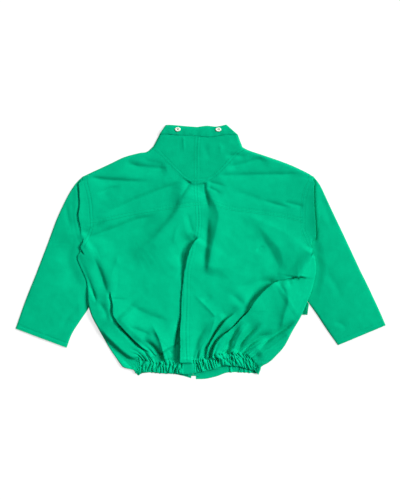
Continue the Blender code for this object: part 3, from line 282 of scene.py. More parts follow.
# A deep fold: the cloth on the left of the line stands `lift` high and laps `lap`
# over the right, which dips under it and rises again over `valley`.
# It turns down over `turn` millimetres to either side of the line.
Lap = namedtuple("Lap", "name lift dip lap turn reach valley start end points")
LAPS = [Lap(*row) for row in (
    ("arm left", 2.4, 4.0, 7, 2.8, 16, 6, .06, .5,
     ((78.5, 180), (79.5, 192), (80, 205), (78.5, 215), (79, 228), (78.6, 240))),
    ("arm right", 3.6, 6.5, 9, 3.2, 16, 6, .15, .06,
     ((314.6, 246), (315.6, 238), (315.3, 223), (314.2, 208), (313.7, 190), (314.5, 178))),
    ("centre", 3.8, 5.4, 6, 1.6, 30, 3.6, .05, .02,
     ((198, 236), (191, 248), (187, 260), (184.3, 275), (182.5, 290), (181.6, 303), (181.2, 319),
      (181.3, 334), (181.4, 350), (181, 364))),
    ("centre top", 3.6, 5.0, 1, 2.4, 24, 12, .1, .6,
     ((198, 236), (191, 248), (187, 260), (184.3, 275), (182.5, 289))),
    ("centre foot", 5.0, 10.0, 3, 2.2, 20, 9, .4, .03,
     ((181.3, 314), (181, 330), (181.2, 346), (181.2, 364))),
    ("side left", 2.8, 4.8, 4, 2.6, 12, 6, .12, .12,
     ((108.5, 290), (112.6, 302), (113, 313), (116.8, 321), (123.2, 328.5), (132, 338), (140, 345.5),
      (150, 354))),
    ("wedge left", 3.8, 4.8, 2, 8.0, 16, 12, .25, .15,
     ((97, 326), (104.5, 335), (113.5, 344), (122.5, 352), (131.5, 358.5), (141, 362.5))),
    ("facet edge", 2.4, 3.4, 3, 2.0, 12, 5, .3, .12,
     ((278, 282), (284, 279.6), (290, 278.2), (295, 277.8), (299.5, 277.8))),
    ("big right", 5.4, 9.0, 6, 1.6, 30, 3.4, .05, .03,
     ((278, 279.5), (274.5, 282), (268.5, 286.8), (260.4, 294.5), (254, 302.5), (248.6, 311), (241.6, 318),
      (235.2, 325.2), (229, 331), (223, 336), (218.4, 341), (215.2, 347), (213.2, 353), (213, 360))),
    ("big right top", 6.4, 5.4, 1, 4.2, 36, 12, .2, .4,
     ((279, 279), (274.5, 282), (268.5, 286.8), (260.4, 294.5), (254, 302.5), (248.6, 311), (242, 319))),
    ("big right foot", 3.6, 8.5, 1, 2.6, 14, 8, .35, .03,
     ((232, 328), (223, 336), (218.4, 341), (215.2, 347), (213.2, 353), (213, 360))),
    ("between", 4.6, 9.0, 4, 2.0, 9, 9, .25, .04,
     ((235, 311), (227, 318.5), (220.5, 327), (214, 336.5), (208, 348), (206, 360))),
)]


# ------------------------------------------------------------ plane geometry
def on_jacket(points):
    """Places on the jacket of points that are given in pixels."""
    return (np.array(points, float) - MIDDLE) * (PIXEL, -PIXEL)


def spaced(dense, fractions):
    """Points of a line at the given fractions of its length."""
    length = np.concatenate([[0.0], np.cumsum(np.hypot(*np.diff(dense, axis=0).T))])
    want = np.asarray(fractions) * length[-1]
    return np.stack([np.interp(want, length, dense[:, k]) for k in range(2)], axis=-1)


def curve(knots, count):
    """count + 1 points, evenly spaced, on a smooth curve through the knots."""
    pts = np.array(knots, float)
    ext = np.vstack([2 * pts[0] - pts[1], pts, 2 * pts[-1] - pts[-2]])
    p0, p1, p2, p3 = (ext[k:len(ext) - 3 + k, None] for k in range(4))
    t = np.linspace(0, 1, 24, endpoint=False)[None, :, None]
    cubic = (3 * p1 - p0 - 3 * p2 + p3) * t ** 3
    body = 0.5 * (2 * p1 + (p2 - p0) * t + (2 * p0 - 5 * p1 + 4 * p2 - p3) * t ** 2 + cubic)
    return spaced(np.vstack([body.reshape(-1, 2), pts[-1:]]), np.linspace(0, 1, count + 1))


def side_to_side(left, right, count):
    """One line from left to right, of two that both run outwards from the centre."""
    return np.vstack([curve(left, count)[::-1], curve(right, count)[1:]])


def length_of(line):
    return np.hypot(*np.diff(line, axis=0).T).sum()


def coons(low, high, left, right):
    """A grid of points that fills the space between four lines, row by row from low to high."""
    u = np.linspace(0, 1, len(low))[None, :, None]
    v = np.linspace(0, 1, len(left))[:, None, None]
    along = low[None] * (1 - v) + high[None] * v
    across = left[:, None] * (1 - u) + right[:, None] * u
    corner = (low[0] * (1 - u) + low[-1] * u) * (1 - v) + (high[0] * (1 - u) + high[-1] * u) * v
    return along + across - corner


def ease(t):
    t = np.clip(t, 0.0, 1.0)
    return t * t * (3 - 2 * t)


def unit(rows):
    """Each row's direction."""
    return rows / np.linalg.norm(rows, axis=1, keepdims=True)


def hill(t, middle, wide):
    """A smooth bump: 1 in the middle, and next to nothing at twice its width."""
    return np.exp(-((t - middle) / wide) ** 2)


def near(xy, line):
    """Signed distance of points to a line (positive on its left), how far along it they
    are from 0 to 1, and the line's direction there."""
    a = line[:-1]
    ab = np.diff(line, axis=0)
    rel = xy[:, None] - a[None]
    t = np.clip((rel * ab).sum(-1) / (ab ** 2).sum(-1), 0, 1)
    off = rel - t[..., None] * ab
    square = (off ** 2).sum(-1)
    k = square.argmin(1)
    rows = np.arange(len(xy))
    cross = ab[k, 0] * rel[rows, k, 1] - ab[k, 1] * rel[rows, k, 0]
    way = ab[k] / np.linalg.norm(ab[k], axis=1)[:, None]
    return np.sqrt(square[rows, k]) * np.where(cross < 0, -1, 1), (k + t[rows, k]) / len(a), way


def distance(xy, line):
    return np.abs(near(xy, line)[0])


def close_to(xy, line, reach):
    """Which points lie in the line's box, grown by the reach."""
    return ((xy > line.min(0) - reach) & (xy < line.max(0) + reach)).all(1)


# ------------------------------------------------------------------- heights
FOLD_LINES = [(fold, curve(on_jacket(fold.points), 20)) for fold in FOLDS]
LAP_LINES = [(lap, curve(on_jacket(lap.points), 40)) for lap in LAPS]
SEAM_LINES = [(seam, curve(seam.knots, 40)) for seam in SEAMS]
CLOSED = [curve(knots, 24) for knots in (SHOULDER_L, SHOULDER_R, NECK_SIDE_L, NECK_SIDE_R)]
CASING_TOP = side_to_side(CASING_TOP_L, CASING_TOP_R, 40)
CASING_LOW = side_to_side(CASING_LOW_L, CASING_LOW_R, 40)


def folded(xy):
    """How far the folds shift each point of the upper cloth, and how far they raise it."""
    shift = np.zeros_like(xy)
    rise = np.zeros(len(xy))
    for fold, line in FOLD_LINES:
        pick = np.flatnonzero(close_to(xy, line, 5 * max(fold.left, fold.right)))
        if len(pick) == 0:
            continue
        away, along, _ = near(xy[pick], line)
        width = np.where(away > 0, fold.left, fold.right)
        part = ease(along / fold.start) * ease((1 - along) / fold.end)
        soft = np.sqrt((away / width) ** 2 + 0.02) - 0.141
        rise[pick] += fold.rise * part * np.exp(-soft ** fold.power)
    for lap, line in LAP_LINES:
        pick = np.flatnonzero(close_to(xy, line, 4 * max(lap.reach, lap.valley)))
        if len(pick) == 0:
            continue
        away, along, way = near(xy[pick], line)
        part = ease(along / lap.start) * ease((1 - along) / lap.end)
        away = away - 0.75 * lap.lap + 0.25 * lap.turn
        over = ease(away / (2 * lap.turn) + 0.5)
        high = lap.lift * np.exp(-np.maximum(away - lap.turn, 0) / lap.reach)
        low = lap.dip * np.exp(-(np.maximum(-away - lap.turn, 0) / lap.valley) ** 2)
        rise[pick] += part * (over * high - (1 - over) * low)
        push = part * lap.lap * over * np.exp(-np.maximum(away - lap.turn, 0) / (2.4 * lap.lap))
        shift[pick] += push[:, None] * np.stack([way[:, 1], -way[:, 0]], axis=1)
    return shift, rise


def inner_edge_x(sections, y):
    """X of a sleeve's inner edge at heights y."""
    ys = [s.in_y for s in sections][::-1]
    xs = [s.in_x for s in sections][::-1]
    return np.interp(y, ys, xs)


def floor_under(xy):
    """How far flaps and sleeves below it lift the front's outer face off the surface."""
    x, y = xy.T
    lift = np.zeros(len(xy))
    flap_reach = 75.0
    for flap in FLAPS:
        low_x, high_x = sorted((flap.x_in, flap.x_out))
        out = np.max([low_x - x, x - high_x, flap.y_low - y, y - flap.y_high, 0 * x], axis=0)
        lift = np.maximum(lift, FLAP_LIFT * ease((flap_reach - out) / 40.0))
    for half in HALVES:
        over = (x - inner_edge_x(half.sections, y)) * half.way
        tucked = ease((over + 76.0) / 40.0) * ease((40 - y) / 24.0) * ease((y + 190) / 36.0)
        lift = np.maximum(lift, np.where(x * half.way > 0, TUCK * tucked, 0.0))
    return lift


def wander(xy):
    """Slight unevenness of cloth that lies by itself."""
    x, y = xy.T
    rise = 0.3 * np.sin(x / 13.0 + 1.3 * np.sin(y / 31.0)) * np.sin(y / 17.0 + 0.7)
    for k in range(9):
        turn = 0.9 + 2.4 * k
        along = x * np.cos(turn) + y * np.sin(turn)
        across = y * np.cos(turn) - x * np.sin(turn)
        bent = along / (6.5 + 1.7 * k) + 1.2 * np.sin(across / (19.0 + 3 * k) + k)
        rise += 0.17 * (0.6 - np.abs(np.sin(bent))) * np.sin(across / (23.0 + 2 * k) + 2 * k) ** 2
    return rise


def round_off(away, radius):
    """0 at an edge and 1 from the radius on, round in between."""
    t = 1 - np.clip(away / radius, 0, 1)
    return np.sqrt(1 - t * t)


Gap = namedtuple("Gap", "foot lean bend turns wide depth low high up spread")


def gaps_in(gather):
    """The uneven, narrow gaps between the ruffles of one gathered stretch."""
    draw = np.random.default_rng(gather.seed)
    gaps = []
    foot = gather.x_from + 2.0
    while foot < gather.x_to:
        gaps.append(Gap(
            foot=foot,
            lean=gather.lean + draw.uniform(-5, 5),
            bend=draw.uniform(-2.2, 2.2),
            turns=draw.uniform(0.7, 1.9),
            wide=draw.uniform(1.1, 2.3),
            depth=draw.uniform(0.6, 1.0),
            low=draw.uniform(-0.8, 0.4),
            high=draw.uniform(0.75, 1.8),
            up=draw.uniform(5, 16) + 28 * draw.uniform(0, 1) ** 3,
            spread=draw.uniform(-0.25, 0.25)))
        foot += draw.uniform(4.2, 9.4)
    return gaps


BACK_GAPS = [gap for gather in BACK_GATHERS for gap in gaps_in(gather)]


def ruffled(gaps, x, v):
    """How far the cloth stands up between the gaps, from 0 to 1; v runs up the casing."""
    rise = np.ones(x.shape)
    for gap in gaps:
        at = gap.foot + gap.lean * (v - 0.5) + gap.bend * np.sin(pi * gap.turns * v + gap.foot)
        cut = gap.depth * np.exp(-(np.abs(x - at) / gap.wide) ** 1.3)
        cut = cut * ease((v - gap.low) / 0.25) * ease((gap.high - v) / 0.25)
        rise = np.minimum(rise, 1 - cut)
    return rise


def seamed(xy):
    """Rise of the twin-needle seams: a doubled band between two sunk stitch lines, puckered."""
    rise = np.zeros(len(xy))
    for seam, line in SEAM_LINES:
        pick = np.flatnonzero(close_to(xy, line, SEAM_REACH))
        if len(pick) == 0:
            continue
        away, along, _ = near(xy[pick], line)
        away = away * seam.band
        step = length_of(line) * along
        inside = ease((along - 0.001) / 0.01) * ease((0.999 - along) / 0.01)
        band = ease((away + 1.2) / 2.4) * (1 - ease((away - 6.6) / 2.6))
        groove = sum(hill(away, middle, 1.0) for middle in SEAM_GROOVES)
        pucker = np.sin(step / 1.25 + 1.7 * np.sin(step / 7.0)) * np.exp(-np.abs(away - 3.5) / 4.0)
        rise[pick] += inside * (SEAM_RISE * band - SEAM_SUNK * groove + SEAM_PUCKER * pucker)
    return rise


def gathers_above(xy):
    """Creases that the casing's gathers send up into the back, fanning outwards."""
    reach, deep = 100, 6.0
    fan_middle, fan_wide = -25, 130
    pick = np.flatnonzero(close_to(xy, CASING_TOP, reach))
    rise = np.zeros(len(xy))
    if len(pick) == 0:
        return rise
    away = distance(xy[pick], CASING_TOP)
    fan = np.clip((xy[pick, 0] - fan_middle) / fan_wide, -1, 1)
    for gap in BACK_GAPS:
        off = np.abs(xy[pick, 0] - gap.foot - gap.lean / 2 - (fan + gap.spread) * away)
        wide = gap.wide + 0.09 * away
        rise[pick] -= deep * gap.depth * np.exp(-(off / wide) ** 1.3 - away / gap.up)
    return rise


def upper(xy):
    """Where each point of the upper cloth lies: x, y and the height of its outer face."""
    low = floor_under(xy)
    closed = np.min([distance(xy, line) for line in CLOSED], axis=0)
    loft = ease(closed / 16.0)
    x, y = xy.T
    air = sum(d.rise * np.exp(-((x - d.x) / d.reach_x) ** 2 - ((y - d.y) / d.reach_y) ** 2) for d in DOMES)
    shift, rise = folded(xy)
    rise = rise + wander(xy) + gathers_above(xy) + seamed(xy)
    want = FOLD_HIGH + (air + rise) * loft
    least = 1.6 + 2.2 * ease((30 - np.abs(x - ZIP_X)) / 8.0)    # the zip holds the cloth up
    soft = 0.7
    want = least + soft * np.logaddexp(0, (want - least) / soft)
    want = EDGE_HIGH + (want - EDGE_HIGH) * round_off(closed, SEAM_ROUND)
    return np.column_stack([xy + shift * loft[:, None], low + want])


# ----------------------------------------------------------------- materials
GREEN = (0.0005, 0.40, 0.196)
GREEN_SHEEN = (0.05, 1, 0.65, 1)


def set_inputs(shader, **inputs):
    """Set a node's inputs; an underscore stands for the blank in an input's name."""
    for key, value in inputs.items():
        shader.inputs[key.replace("_", " ")].default_value = value


def node(tree, kind, **inputs):
    made = tree.nodes.new(kind)
    set_inputs(made, **inputs)
    return made


def wire(tree, source, output, target, entry):
    tree.links.new(source.outputs[output], target.inputs[entry])


def new_material(name):
    """A material, its tree of nodes and its shader."""
    mat = bpy.data.materials.new(name)
    mat.use_nodes = True
    return mat, mat.node_tree, mat.node_tree.nodes["Principled BSDF"]


def ramp_of(tree, colour, dark, light):
    """A colour ramp from a darker to a lighter shade of one colour."""
    ramp = tree.nodes.new("ShaderNodeValToRGB")
    for stop, shade in zip(ramp.color_ramp.elements, (dark, light)):
        stop.color = [min(c * shade, 1.0) for c in colour] + [1.0]
    return ramp


def cloth_material(name, painted_shade):
    """Plain-woven cotton: fine crossed threads, slubs and a slightly uneven dye; a piece's overall
    darkening of the green is painted shade.
    """
    mat, tree, shader = new_material(name)
    set_inputs(shader, Roughness=0.82, Specular_IOR_Level=0.06, Specular_Tint=GREEN_SHEEN,
               Sheen_Weight=0.05, Sheen_Roughness=0.4, Sheen_Tint=GREEN_SHEEN)
    place = tree.nodes.new("ShaderNodeUVMap")
    place.uv_map = "cut"
    weave = tree.nodes.new("ShaderNodeMath")
    weave.operation = "MAXIMUM"
    for k, direction in enumerate("XY"):
        threads = node(tree, "ShaderNodeTexWave", Scale=0.9, Distortion=0.6, Detail=1.0)
        threads.bands_direction = direction
        wire(tree, place, "UV", threads, "Vector")
        wire(tree, threads, "Fac", weave, k)
    slub_place = node(tree, "ShaderNodeMapping", Scale=(0.9, 0.06, 1.0))
    wire(tree, place, "UV", slub_place, "Vector")
    slub = node(tree, "ShaderNodeTexNoise", Scale=1.0, Detail=3.0)
    wire(tree, slub_place, "Vector", slub, "Vector")
    dye = node(tree, "ShaderNodeTexNoise", Scale=0.035, Detail=5.0, Roughness=0.6)
    wire(tree, place, "UV", dye, "Vector")
    # The green times painted_shade: a darker copy of the same cotton, painted shade for light that falls
    # off away from the middle.
    ramp = ramp_of(tree, [c * t for c, t in zip(GREEN, painted_shade)], 0.93, 1.06)
    ramp.color_ramp.elements[0].position = 0.3
    ramp.color_ramp.elements[1].position = 0.7
    wire(tree, dye, "Fac", ramp, "Fac")
    thread = tree.nodes.new("ShaderNodeMix")
    thread.data_type = "RGBA"
    thread.blend_type = "MULTIPLY"
    thread.inputs["Factor"].default_value = 0.12
    wire(tree, ramp, "Color", thread, "A")
    wire(tree, slub, "Fac", thread, "B")
    wire(tree, thread, "Result", shader, "Base Color")
    fine = node(tree, "ShaderNodeBump", Strength=0.35, Distance=0.00012)
    wire(tree, weave, "Value", fine, "Height")
    coarse = node(tree, "ShaderNodeBump", Strength=0.5, Distance=0.0002)
    wire(tree, slub, "Fac", coarse, "Height")
    wire(tree, fine, "Normal", coarse, "Normal")
    wire(tree, coarse, "Normal", shader, "Normal")
    return mat


def plain_material(name, colour, rough, metal=0.0, grain=300.0, shine=0.5):
    """Moulded plastic, enamel or thread: one colour, slightly mottled."""
    mat, tree, shader = new_material(name)
    set_inputs(shader, Roughness=rough, Metallic=metal, Specular_IOR_Level=shine)
    place = tree.nodes.new("ShaderNodeTexCoord")
    noise = node(tree, "ShaderNodeTexNoise", Scale=grain, Detail=3.0)
    wire(tree, place, "Object", noise, "Vector")
    ramp = ramp_of(tree, colour, 0.9, 1.06)
    wire(tree, noise, "Fac", ramp, "Fac")
    wire(tree, ramp, "Color", shader, "Base Color")
    bump = node(tree, "ShaderNodeBump", Strength=0.2, Distance=0.0002)
    wire(tree, noise, "Fac", bump, "Height")
    wire(tree, bump, "Normal", shader, "Normal")
    return mat


# The yoke, sleeves and collar (and the zip tape, which takes the yoke's) are darker copies of the body's
# cotton: painted shade for light that falls off away from the middle of the back.
BODY = cloth_material("cotton_body", (1.0, 1.0, 1.0))
YOKE = cloth_material("cotton_yoke", (1.0, 0.96, 0.97))
SLEEVE = cloth_material("cotton_sleeve", (1.0, 0.95, 0.95))
COLLAR = cloth_material("cotton_collar", (1.0, 0.93, 0.93))
# The thread's green is partly its own colour and partly painted shade: darkened further for the sunk,
# puckered stitch lines.
THREAD_WITH_SHADE = plain_material("thread", (0.0005, 0.22, 0.105), 0.8, shine=0.03)
SNAP = plain_material("snap_enamel", (0.80, 0.80, 0.70), 0.32, grain=900.0)
SNAP_WELL = plain_material("snap_well", (0.30, 0.27, 0.20), 0.4, metal=0.6, grain=900.0)
ZIP = plain_material("zip_teeth", (0.002, 0.30, 0.15), 0.38)


# -------------------------------------------------------------------- pieces
def mesh_of(name, bm):
    """A bmesh's mesh; the bmesh is used up."""
    mesh = bpy.data.meshes.new(name)
    bm.to_mesh(mesh)
    bm.free()
    return mesh


def put(name, data):
    """A new object in the scene."""
    obj = bpy.data.objects.new(name, data)
    bpy.context.scene.collection.objects.link(obj)
    return obj


def link(obj, nodes, material):
    """Give a piece its material, and tell the frame what it is."""
    obj.data.materials.append(material)
    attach(obj, "root")
    if nodes:
        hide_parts(*nodes)
    return obj


def cloth(piece, grid, plan, material, faces_up=True, ring=False, at=(0, 1),
          thick=THICK):
    """A sheet of cloth through a grid of points (rows, columns, 3), given its thickness
    inwards and kept above the surface.  The quad at `at` shows its outer face up, or down."""
    name = piece + "_cloth"
    if ring:
        grid = np.concatenate([grid, grid[:, :1]], axis=1)
        plan = np.concatenate([plan, 2 * plan[:, -1:] - plan[:, -2:-1]], axis=1)
    rows, cols = grid.shape[:2]
    j, i = at
    a = grid[j, i + 1] - grid[j, i]
    b = grid[j + 1, i] - grid[j, i]
    bm = bmesh.new()
    bmesh.ops.create_grid(bm, x_segments=cols - 1, y_segments=rows - 1, size=1.0)
    mesh = mesh_of(name, bm)
    mesh.vertices.foreach_set("co", (grid.reshape(-1, 3) * MM).ravel())
    corner = np.empty(len(mesh.loops), dtype=np.int64)
    mesh.loops.foreach_get("vertex_index", corner)
    layer = mesh.uv_layers[0] if mesh.uv_layers else mesh.uv_layers.new(name="cut")
    layer.name = "cut"
    layer.data.foreach_set("uv", plan.reshape(-1, 2)[corner].astype(np.float32).ravel())
    bm = bmesh.new()
    bm.from_mesh(mesh)
    if (a[0] * b[1] - a[1] * b[0] > 0) != faces_up:
        bmesh.ops.reverse_faces(bm, faces=bm.faces[:])
    if ring:
        bm.verts.ensure_lookup_table()
        ends = [bm.verts[j * cols + i] for j in range(rows) for i in (0, cols - 1)]
        bmesh.ops.remove_doubles(bm, verts=ends, dist=1e-6)
    bm.to_mesh(mesh)
    bm.free()
    mesh.shade_smooth()
    obj = put(name, mesh)
    wall = obj.modifiers.new("thickness", "SOLIDIFY")
    wall.thickness = thick * MM
    wall.offset = -1.0
    seen = obj.evaluated_get(bpy.context.evaluated_depsgraph_get())
    obj.data = bpy.data.meshes.new_from_object(seen)
    obj.modifiers.clear()
    points = np.empty(3 * len(obj.data.vertices))
    obj.data.vertices.foreach_get("co", points)
    points[2::3] = np.maximum(points[2::3], 0.0)
    obj.data.vertices.foreach_set("co", points)
    obj.data.name = name
    obj.data.set_sharp_from_angle(angle=radians(65))
    return link(obj, [piece], material)


def panel(piece, low, high, left, right, material, step):
    """One piece of the back between four seam lines, with a point every `step` millimetres."""
    cols = int(max(length_of(low), length_of(high)) / step)
    rows = int(max(length_of(left), length_of(right)) / step)
    sides = [spaced(line, np.linspace(0, 1, n + 1))
             for line, n in ((low, cols), (high, cols), (left, rows), (right, rows))]
    plan = coons(*sides)
    grid = upper(plan.reshape(-1, 2)).reshape(rows + 1, cols + 1, 3)
    obj = cloth(piece, grid, plan, material)


def join(*lines):
    return np.vstack([lines[0]] + [line[1:] for line in lines[1:]])


def back(half):
    """The three pieces of one half of the back."""
    yoke_line = curve(half.yoke, 120)
    outside = join(curve(half.side, 90)[::-1], curve(half.arm_low, 30)[::-1])
    panel("back_lower_" + half.name, curve(half.casing, 120), yoke_line, curve(CENTRE_LOW, 160)[::-1],
          outside, BODY, FINE)
    top = join(curve(half.funnel, 50), curve(half.shoulder, 60))
    panel("back_yoke_" + half.name, yoke_line, top, curve(CENTRE_YOKE, 40)[::-1],
          curve(half.arm_yoke, 40)[::-1], YOKE, COARSE)
    panel("neck_insert_" + half.name, curve(half.funnel, 50), curve(half.band, 50),
          curve(CENTRE_NECK, 40)[::-1], curve(half.neck_side, 30), COLLAR, COARSE)


def front(half):
    """A front: flat below, its side folded up over the edge to the side seam."""
    side_rows, arm_low_rows, arm_yoke_rows = 110, 20, 40
    neck_cols, shoulder_cols, arc_cols, strip_cols = 15, 31, 9, 26
    arm = join(curve(half.arm_low, arm_low_rows)[::-1], curve(half.arm_yoke, arm_yoke_rows)[::-1])
    edge_run = join(curve(half.edge, side_rows)[::-1], arm)
    seam_run = join(curve(half.side, side_rows)[::-1], arm)
    rows = len(edge_run)
    low = curve(half.front_hem, neck_cols + shoulder_cols)
    top = join(curve(half.front_neck, neck_cols), curve(half.shoulder, shoulder_cols))
    up_the_zip = np.linspace(low[0, 1], half.front_neck[0][1], rows)
    inside = np.column_stack([np.full(rows, half.opening), up_the_zip])
    turned = ease((side_rows - np.arange(rows)) / 9.0)[:, None]
    into = seam_run - edge_run
    wide = np.linalg.norm(into, axis=1, keepdims=True)
    inward = unit(inside - edge_run)
    into = np.where(wide > 2.0, into / np.maximum(wide, 1e-6), inward)
    into = unit(into * turned + inward * (1 - turned))
    radius = np.minimum(FRONT_FOLD, 0.45 * wide + 0.01)
    start = edge_run + into * (radius * turned + 10.0 * (1 - turned))
    low[-1] = start[0]
    top[-1] = start[-1]
    flat = coons(low, top, inside, start)
    rise = 0.25 + 0.5 * (wander(flat.reshape(-1, 2)) + 0.5).reshape(rows, -1)
    under = floor_under(flat.reshape(-1, 2)).reshape(rows, -1)
    fade = round_off(np.minimum(flat[..., 1] - low[:, 1].min(), 30.0), 20.0)
    bottom = np.dstack([flat, under + np.clip(rise, 0, 1) * fade])
    outward = unit(start - inside)
    base = floor_under(start)
    turned_cols = arc_cols + strip_cols
    extra = []
    plan = [flat]
    for k in range(1, turned_cols + 1):
        spread = edge_run + (start - edge_run) * (1 - k / turned_cols)
        level = np.column_stack([spread, floor_under(spread)])
        if k <= arc_cols:
            angle = pi * k / arc_cols
            out = start - into * radius * np.sin(angle)
            half_way = (1 - np.cos(angle)) / 2
            above = upper(out)
            wrapped = np.column_stack([out + (above[:, :2] - out) * half_way,
                                       base + (above[:, 2] - base) * half_way])
            place = start + outward * k
        else:
            wrapped = upper(start + (seam_run - start) * (k - arc_cols) / strip_cols)
            place = start - inward * k
        extra.append(wrapped * turned + level * (1 - turned))
        plan.append(place[:, None])
    grid = np.concatenate([bottom, np.stack(extra, axis=1)], axis=1)
    obj = cloth("front_" + half.name, grid, np.concatenate(plan, axis=1), BODY, faces_up=False,
                at=(rows // 2, 5))


def sleeve(half):
    """A flat tube from the armhole seam to the cuff."""
    head_rows, rows = 22, 150
    arm = join(curve(half.arm_yoke, 60), curve(half.arm_low, 30))
    out_line = curve([(s.out_x, s.out_y) for s in half.sections], rows)
    in_line = curve([(s.in_x, s.in_y) for s in half.sections], rows)
    along = np.linspace(0, len(half.sections) - 1, rows + 1)
    bow = np.interp(along, range(len(half.sections)), [s.bow for s in half.sections])
    high = np.interp(along, range(len(half.sections)), [s.high for s in half.sections])
    top = np.concatenate([[0, 0.002, 0.007, 0.014], np.linspace(0.024, 0.976, 70), [0.986, 0.993, 0.998]])
    low = np.concatenate([[1.0, 0.997, 0.985], np.linspace(0.96, 0.04, 34), [0.015, 0.003]])
    marks = np.concatenate([top, low])
    face = np.concatenate([np.ones(len(top)), np.zeros(len(low))])
    lines = []
    heights = []
    for k in range(rows + 1):
        across = in_line[k] - out_line[k]
        width = np.hypot(*across)
        away = np.array([half.way * abs(across[1]), -abs(across[0])]) / width
        swell = bow[k] * 4 * marks * (1 - marks)
        lines.append(out_line[k] + marks[:, None] * across + away * swell[:, None])
        edge = round_off(np.minimum(marks, 1 - marks) * width, 5.0)
        heights.append((high[k], edge))
    head = spaced(arm, marks)
    plan = [head + (lines[0] - head) * t for t in np.linspace(0, 1, head_rows, endpoint=False)] + lines
    plan = np.array(plan)
    flat = plan.reshape(-1, 2)
    body_line = curve(half.edge, 60)
    shift, rise = folded(flat)
    rise = rise + 0.8 * wander(flat)
    laid = upper(flat)
    covered = sleeve_covered(flat, body_line, half.way)
    away = distance(flat, body_line)
    free = np.where(covered, 0.0, ease((away - 4.0) / 22.0))
    cuff_line = np.array([lines[-1][0], lines[-1][len(top) - 1]])
    rise -= 0.9 * hill(distance(flat, cuff_line), CUFF_HEM, 1.4)
    pressed = SLEEVE_EDGE * 0.9
    grid = np.zeros(plan.shape[:2] + (3,))
    for k in range(len(plan)):
        cut = slice(k * len(marks), (k + 1) * len(marks))
        t = min(k / head_rows, 1.0)
        tall, edge = heights[max(k - head_rows, 0)]
        crown = SLEEVE_EDGE + (tall - SLEEVE_EDGE) * np.sqrt(np.clip(np.sin(pi * marks), 0, 1))
        crown = crown + rise[cut] * face
        crown = 1.2 + 0.6 * np.logaddexp(0, (crown - 1.2) / 0.6)
        crown = pressed + (crown - pressed) * free[cut]
        centre = np.minimum(crown / 2, 1.9)
        own = np.where(face > 0, centre + (crown - centre) * edge, centre * (1 - edge))
        start = np.where(face > 0, laid[cut, 2], 0.0)
        joined = ease(1.2 - 1.2 * t)
        grid[k, :, 2] = own + (start - own) * joined
        with_body = laid[cut, :2] - plan[k]
        by_itself = shift[cut] * edge[:, None]
        grid[k, :, :2] = plan[k] + (by_itself + (with_body - by_itself) * joined) * face[:, None]
    obj = cloth("sleeve_" + half.name, grid, plan, SLEEVE, ring=True, at=(100, 30))


def sleeve_covered(xy, line, sign):
    """Whether the body's folded side lies over a place of a sleeve."""
    order = line[::-1]
    edge = np.interp(xy[:, 1], order[:, 1], order[:, 0])
    within = (xy[:, 1] > line[-1, 1]) & (xy[:, 1] < line[0, 1])
    return within & ((xy[:, 0] - edge) * sign < 3.0)


def hem_back():
    """The elasticated casing across the back: ruffled, with a plain block at the centre."""
    cols, rows = 460, 30
    block_left, block_right = -44, -12
    x_low, x_high = CASING_TOP[0, 0] + 4, CASING_TOP[-1, 0] + 2
    xs = np.linspace(x_low, x_high, cols + 1)
    v = np.linspace(0, 1, rows + 1)[:, None]
    lean = -4.0 * (x_high - xs) / (x_high - x_low) - 2.0 * (xs - x_low) / (x_high - x_low)
    px = xs + lean * v
    stand = ruffled(BACK_GAPS, px, v)
    gathered = 1 - ease((px - block_left) / 3) * ease((block_right - px) / 3)
    y_low = np.interp(xs, CASING_LOW[:, 0], CASING_LOW[:, 1]) + 2.2 * (stand - 0.8) * gathered
    y_top = np.interp(xs + lean, CASING_TOP[:, 0], CASING_TOP[:, 1])
    plan = np.dstack([px, y_low + (y_top - y_low) * v])
    grid = upper(plan.reshape(-1, 2)).reshape(rows + 1, cols + 1, 3)
    puff = np.sin(pi * np.clip(0.06 + 0.9 * v, 0, 1)) ** 0.5
    rolling = 0.8 + 0.2 * np.sin(px / 5.3 + 2 * np.sin(v * 3.0 + px / 31.0))
    swell = gathered * (6.6 * stand * rolling * puff - 2.6)
    stitched = 0.45 * hill(v, 0.88, 0.04) + 0.5 * (1 - gathered) * hill(v, 0.1, 0.05)
    fall = 3.0 * round_off(v * 34, 4.0) - 3.0
    grid[..., 2] = np.clip(grid[..., 2] + swell - stitched + fall, 1.5, 24.0)
    obj = cloth("hem_back", grid, plan, BODY)


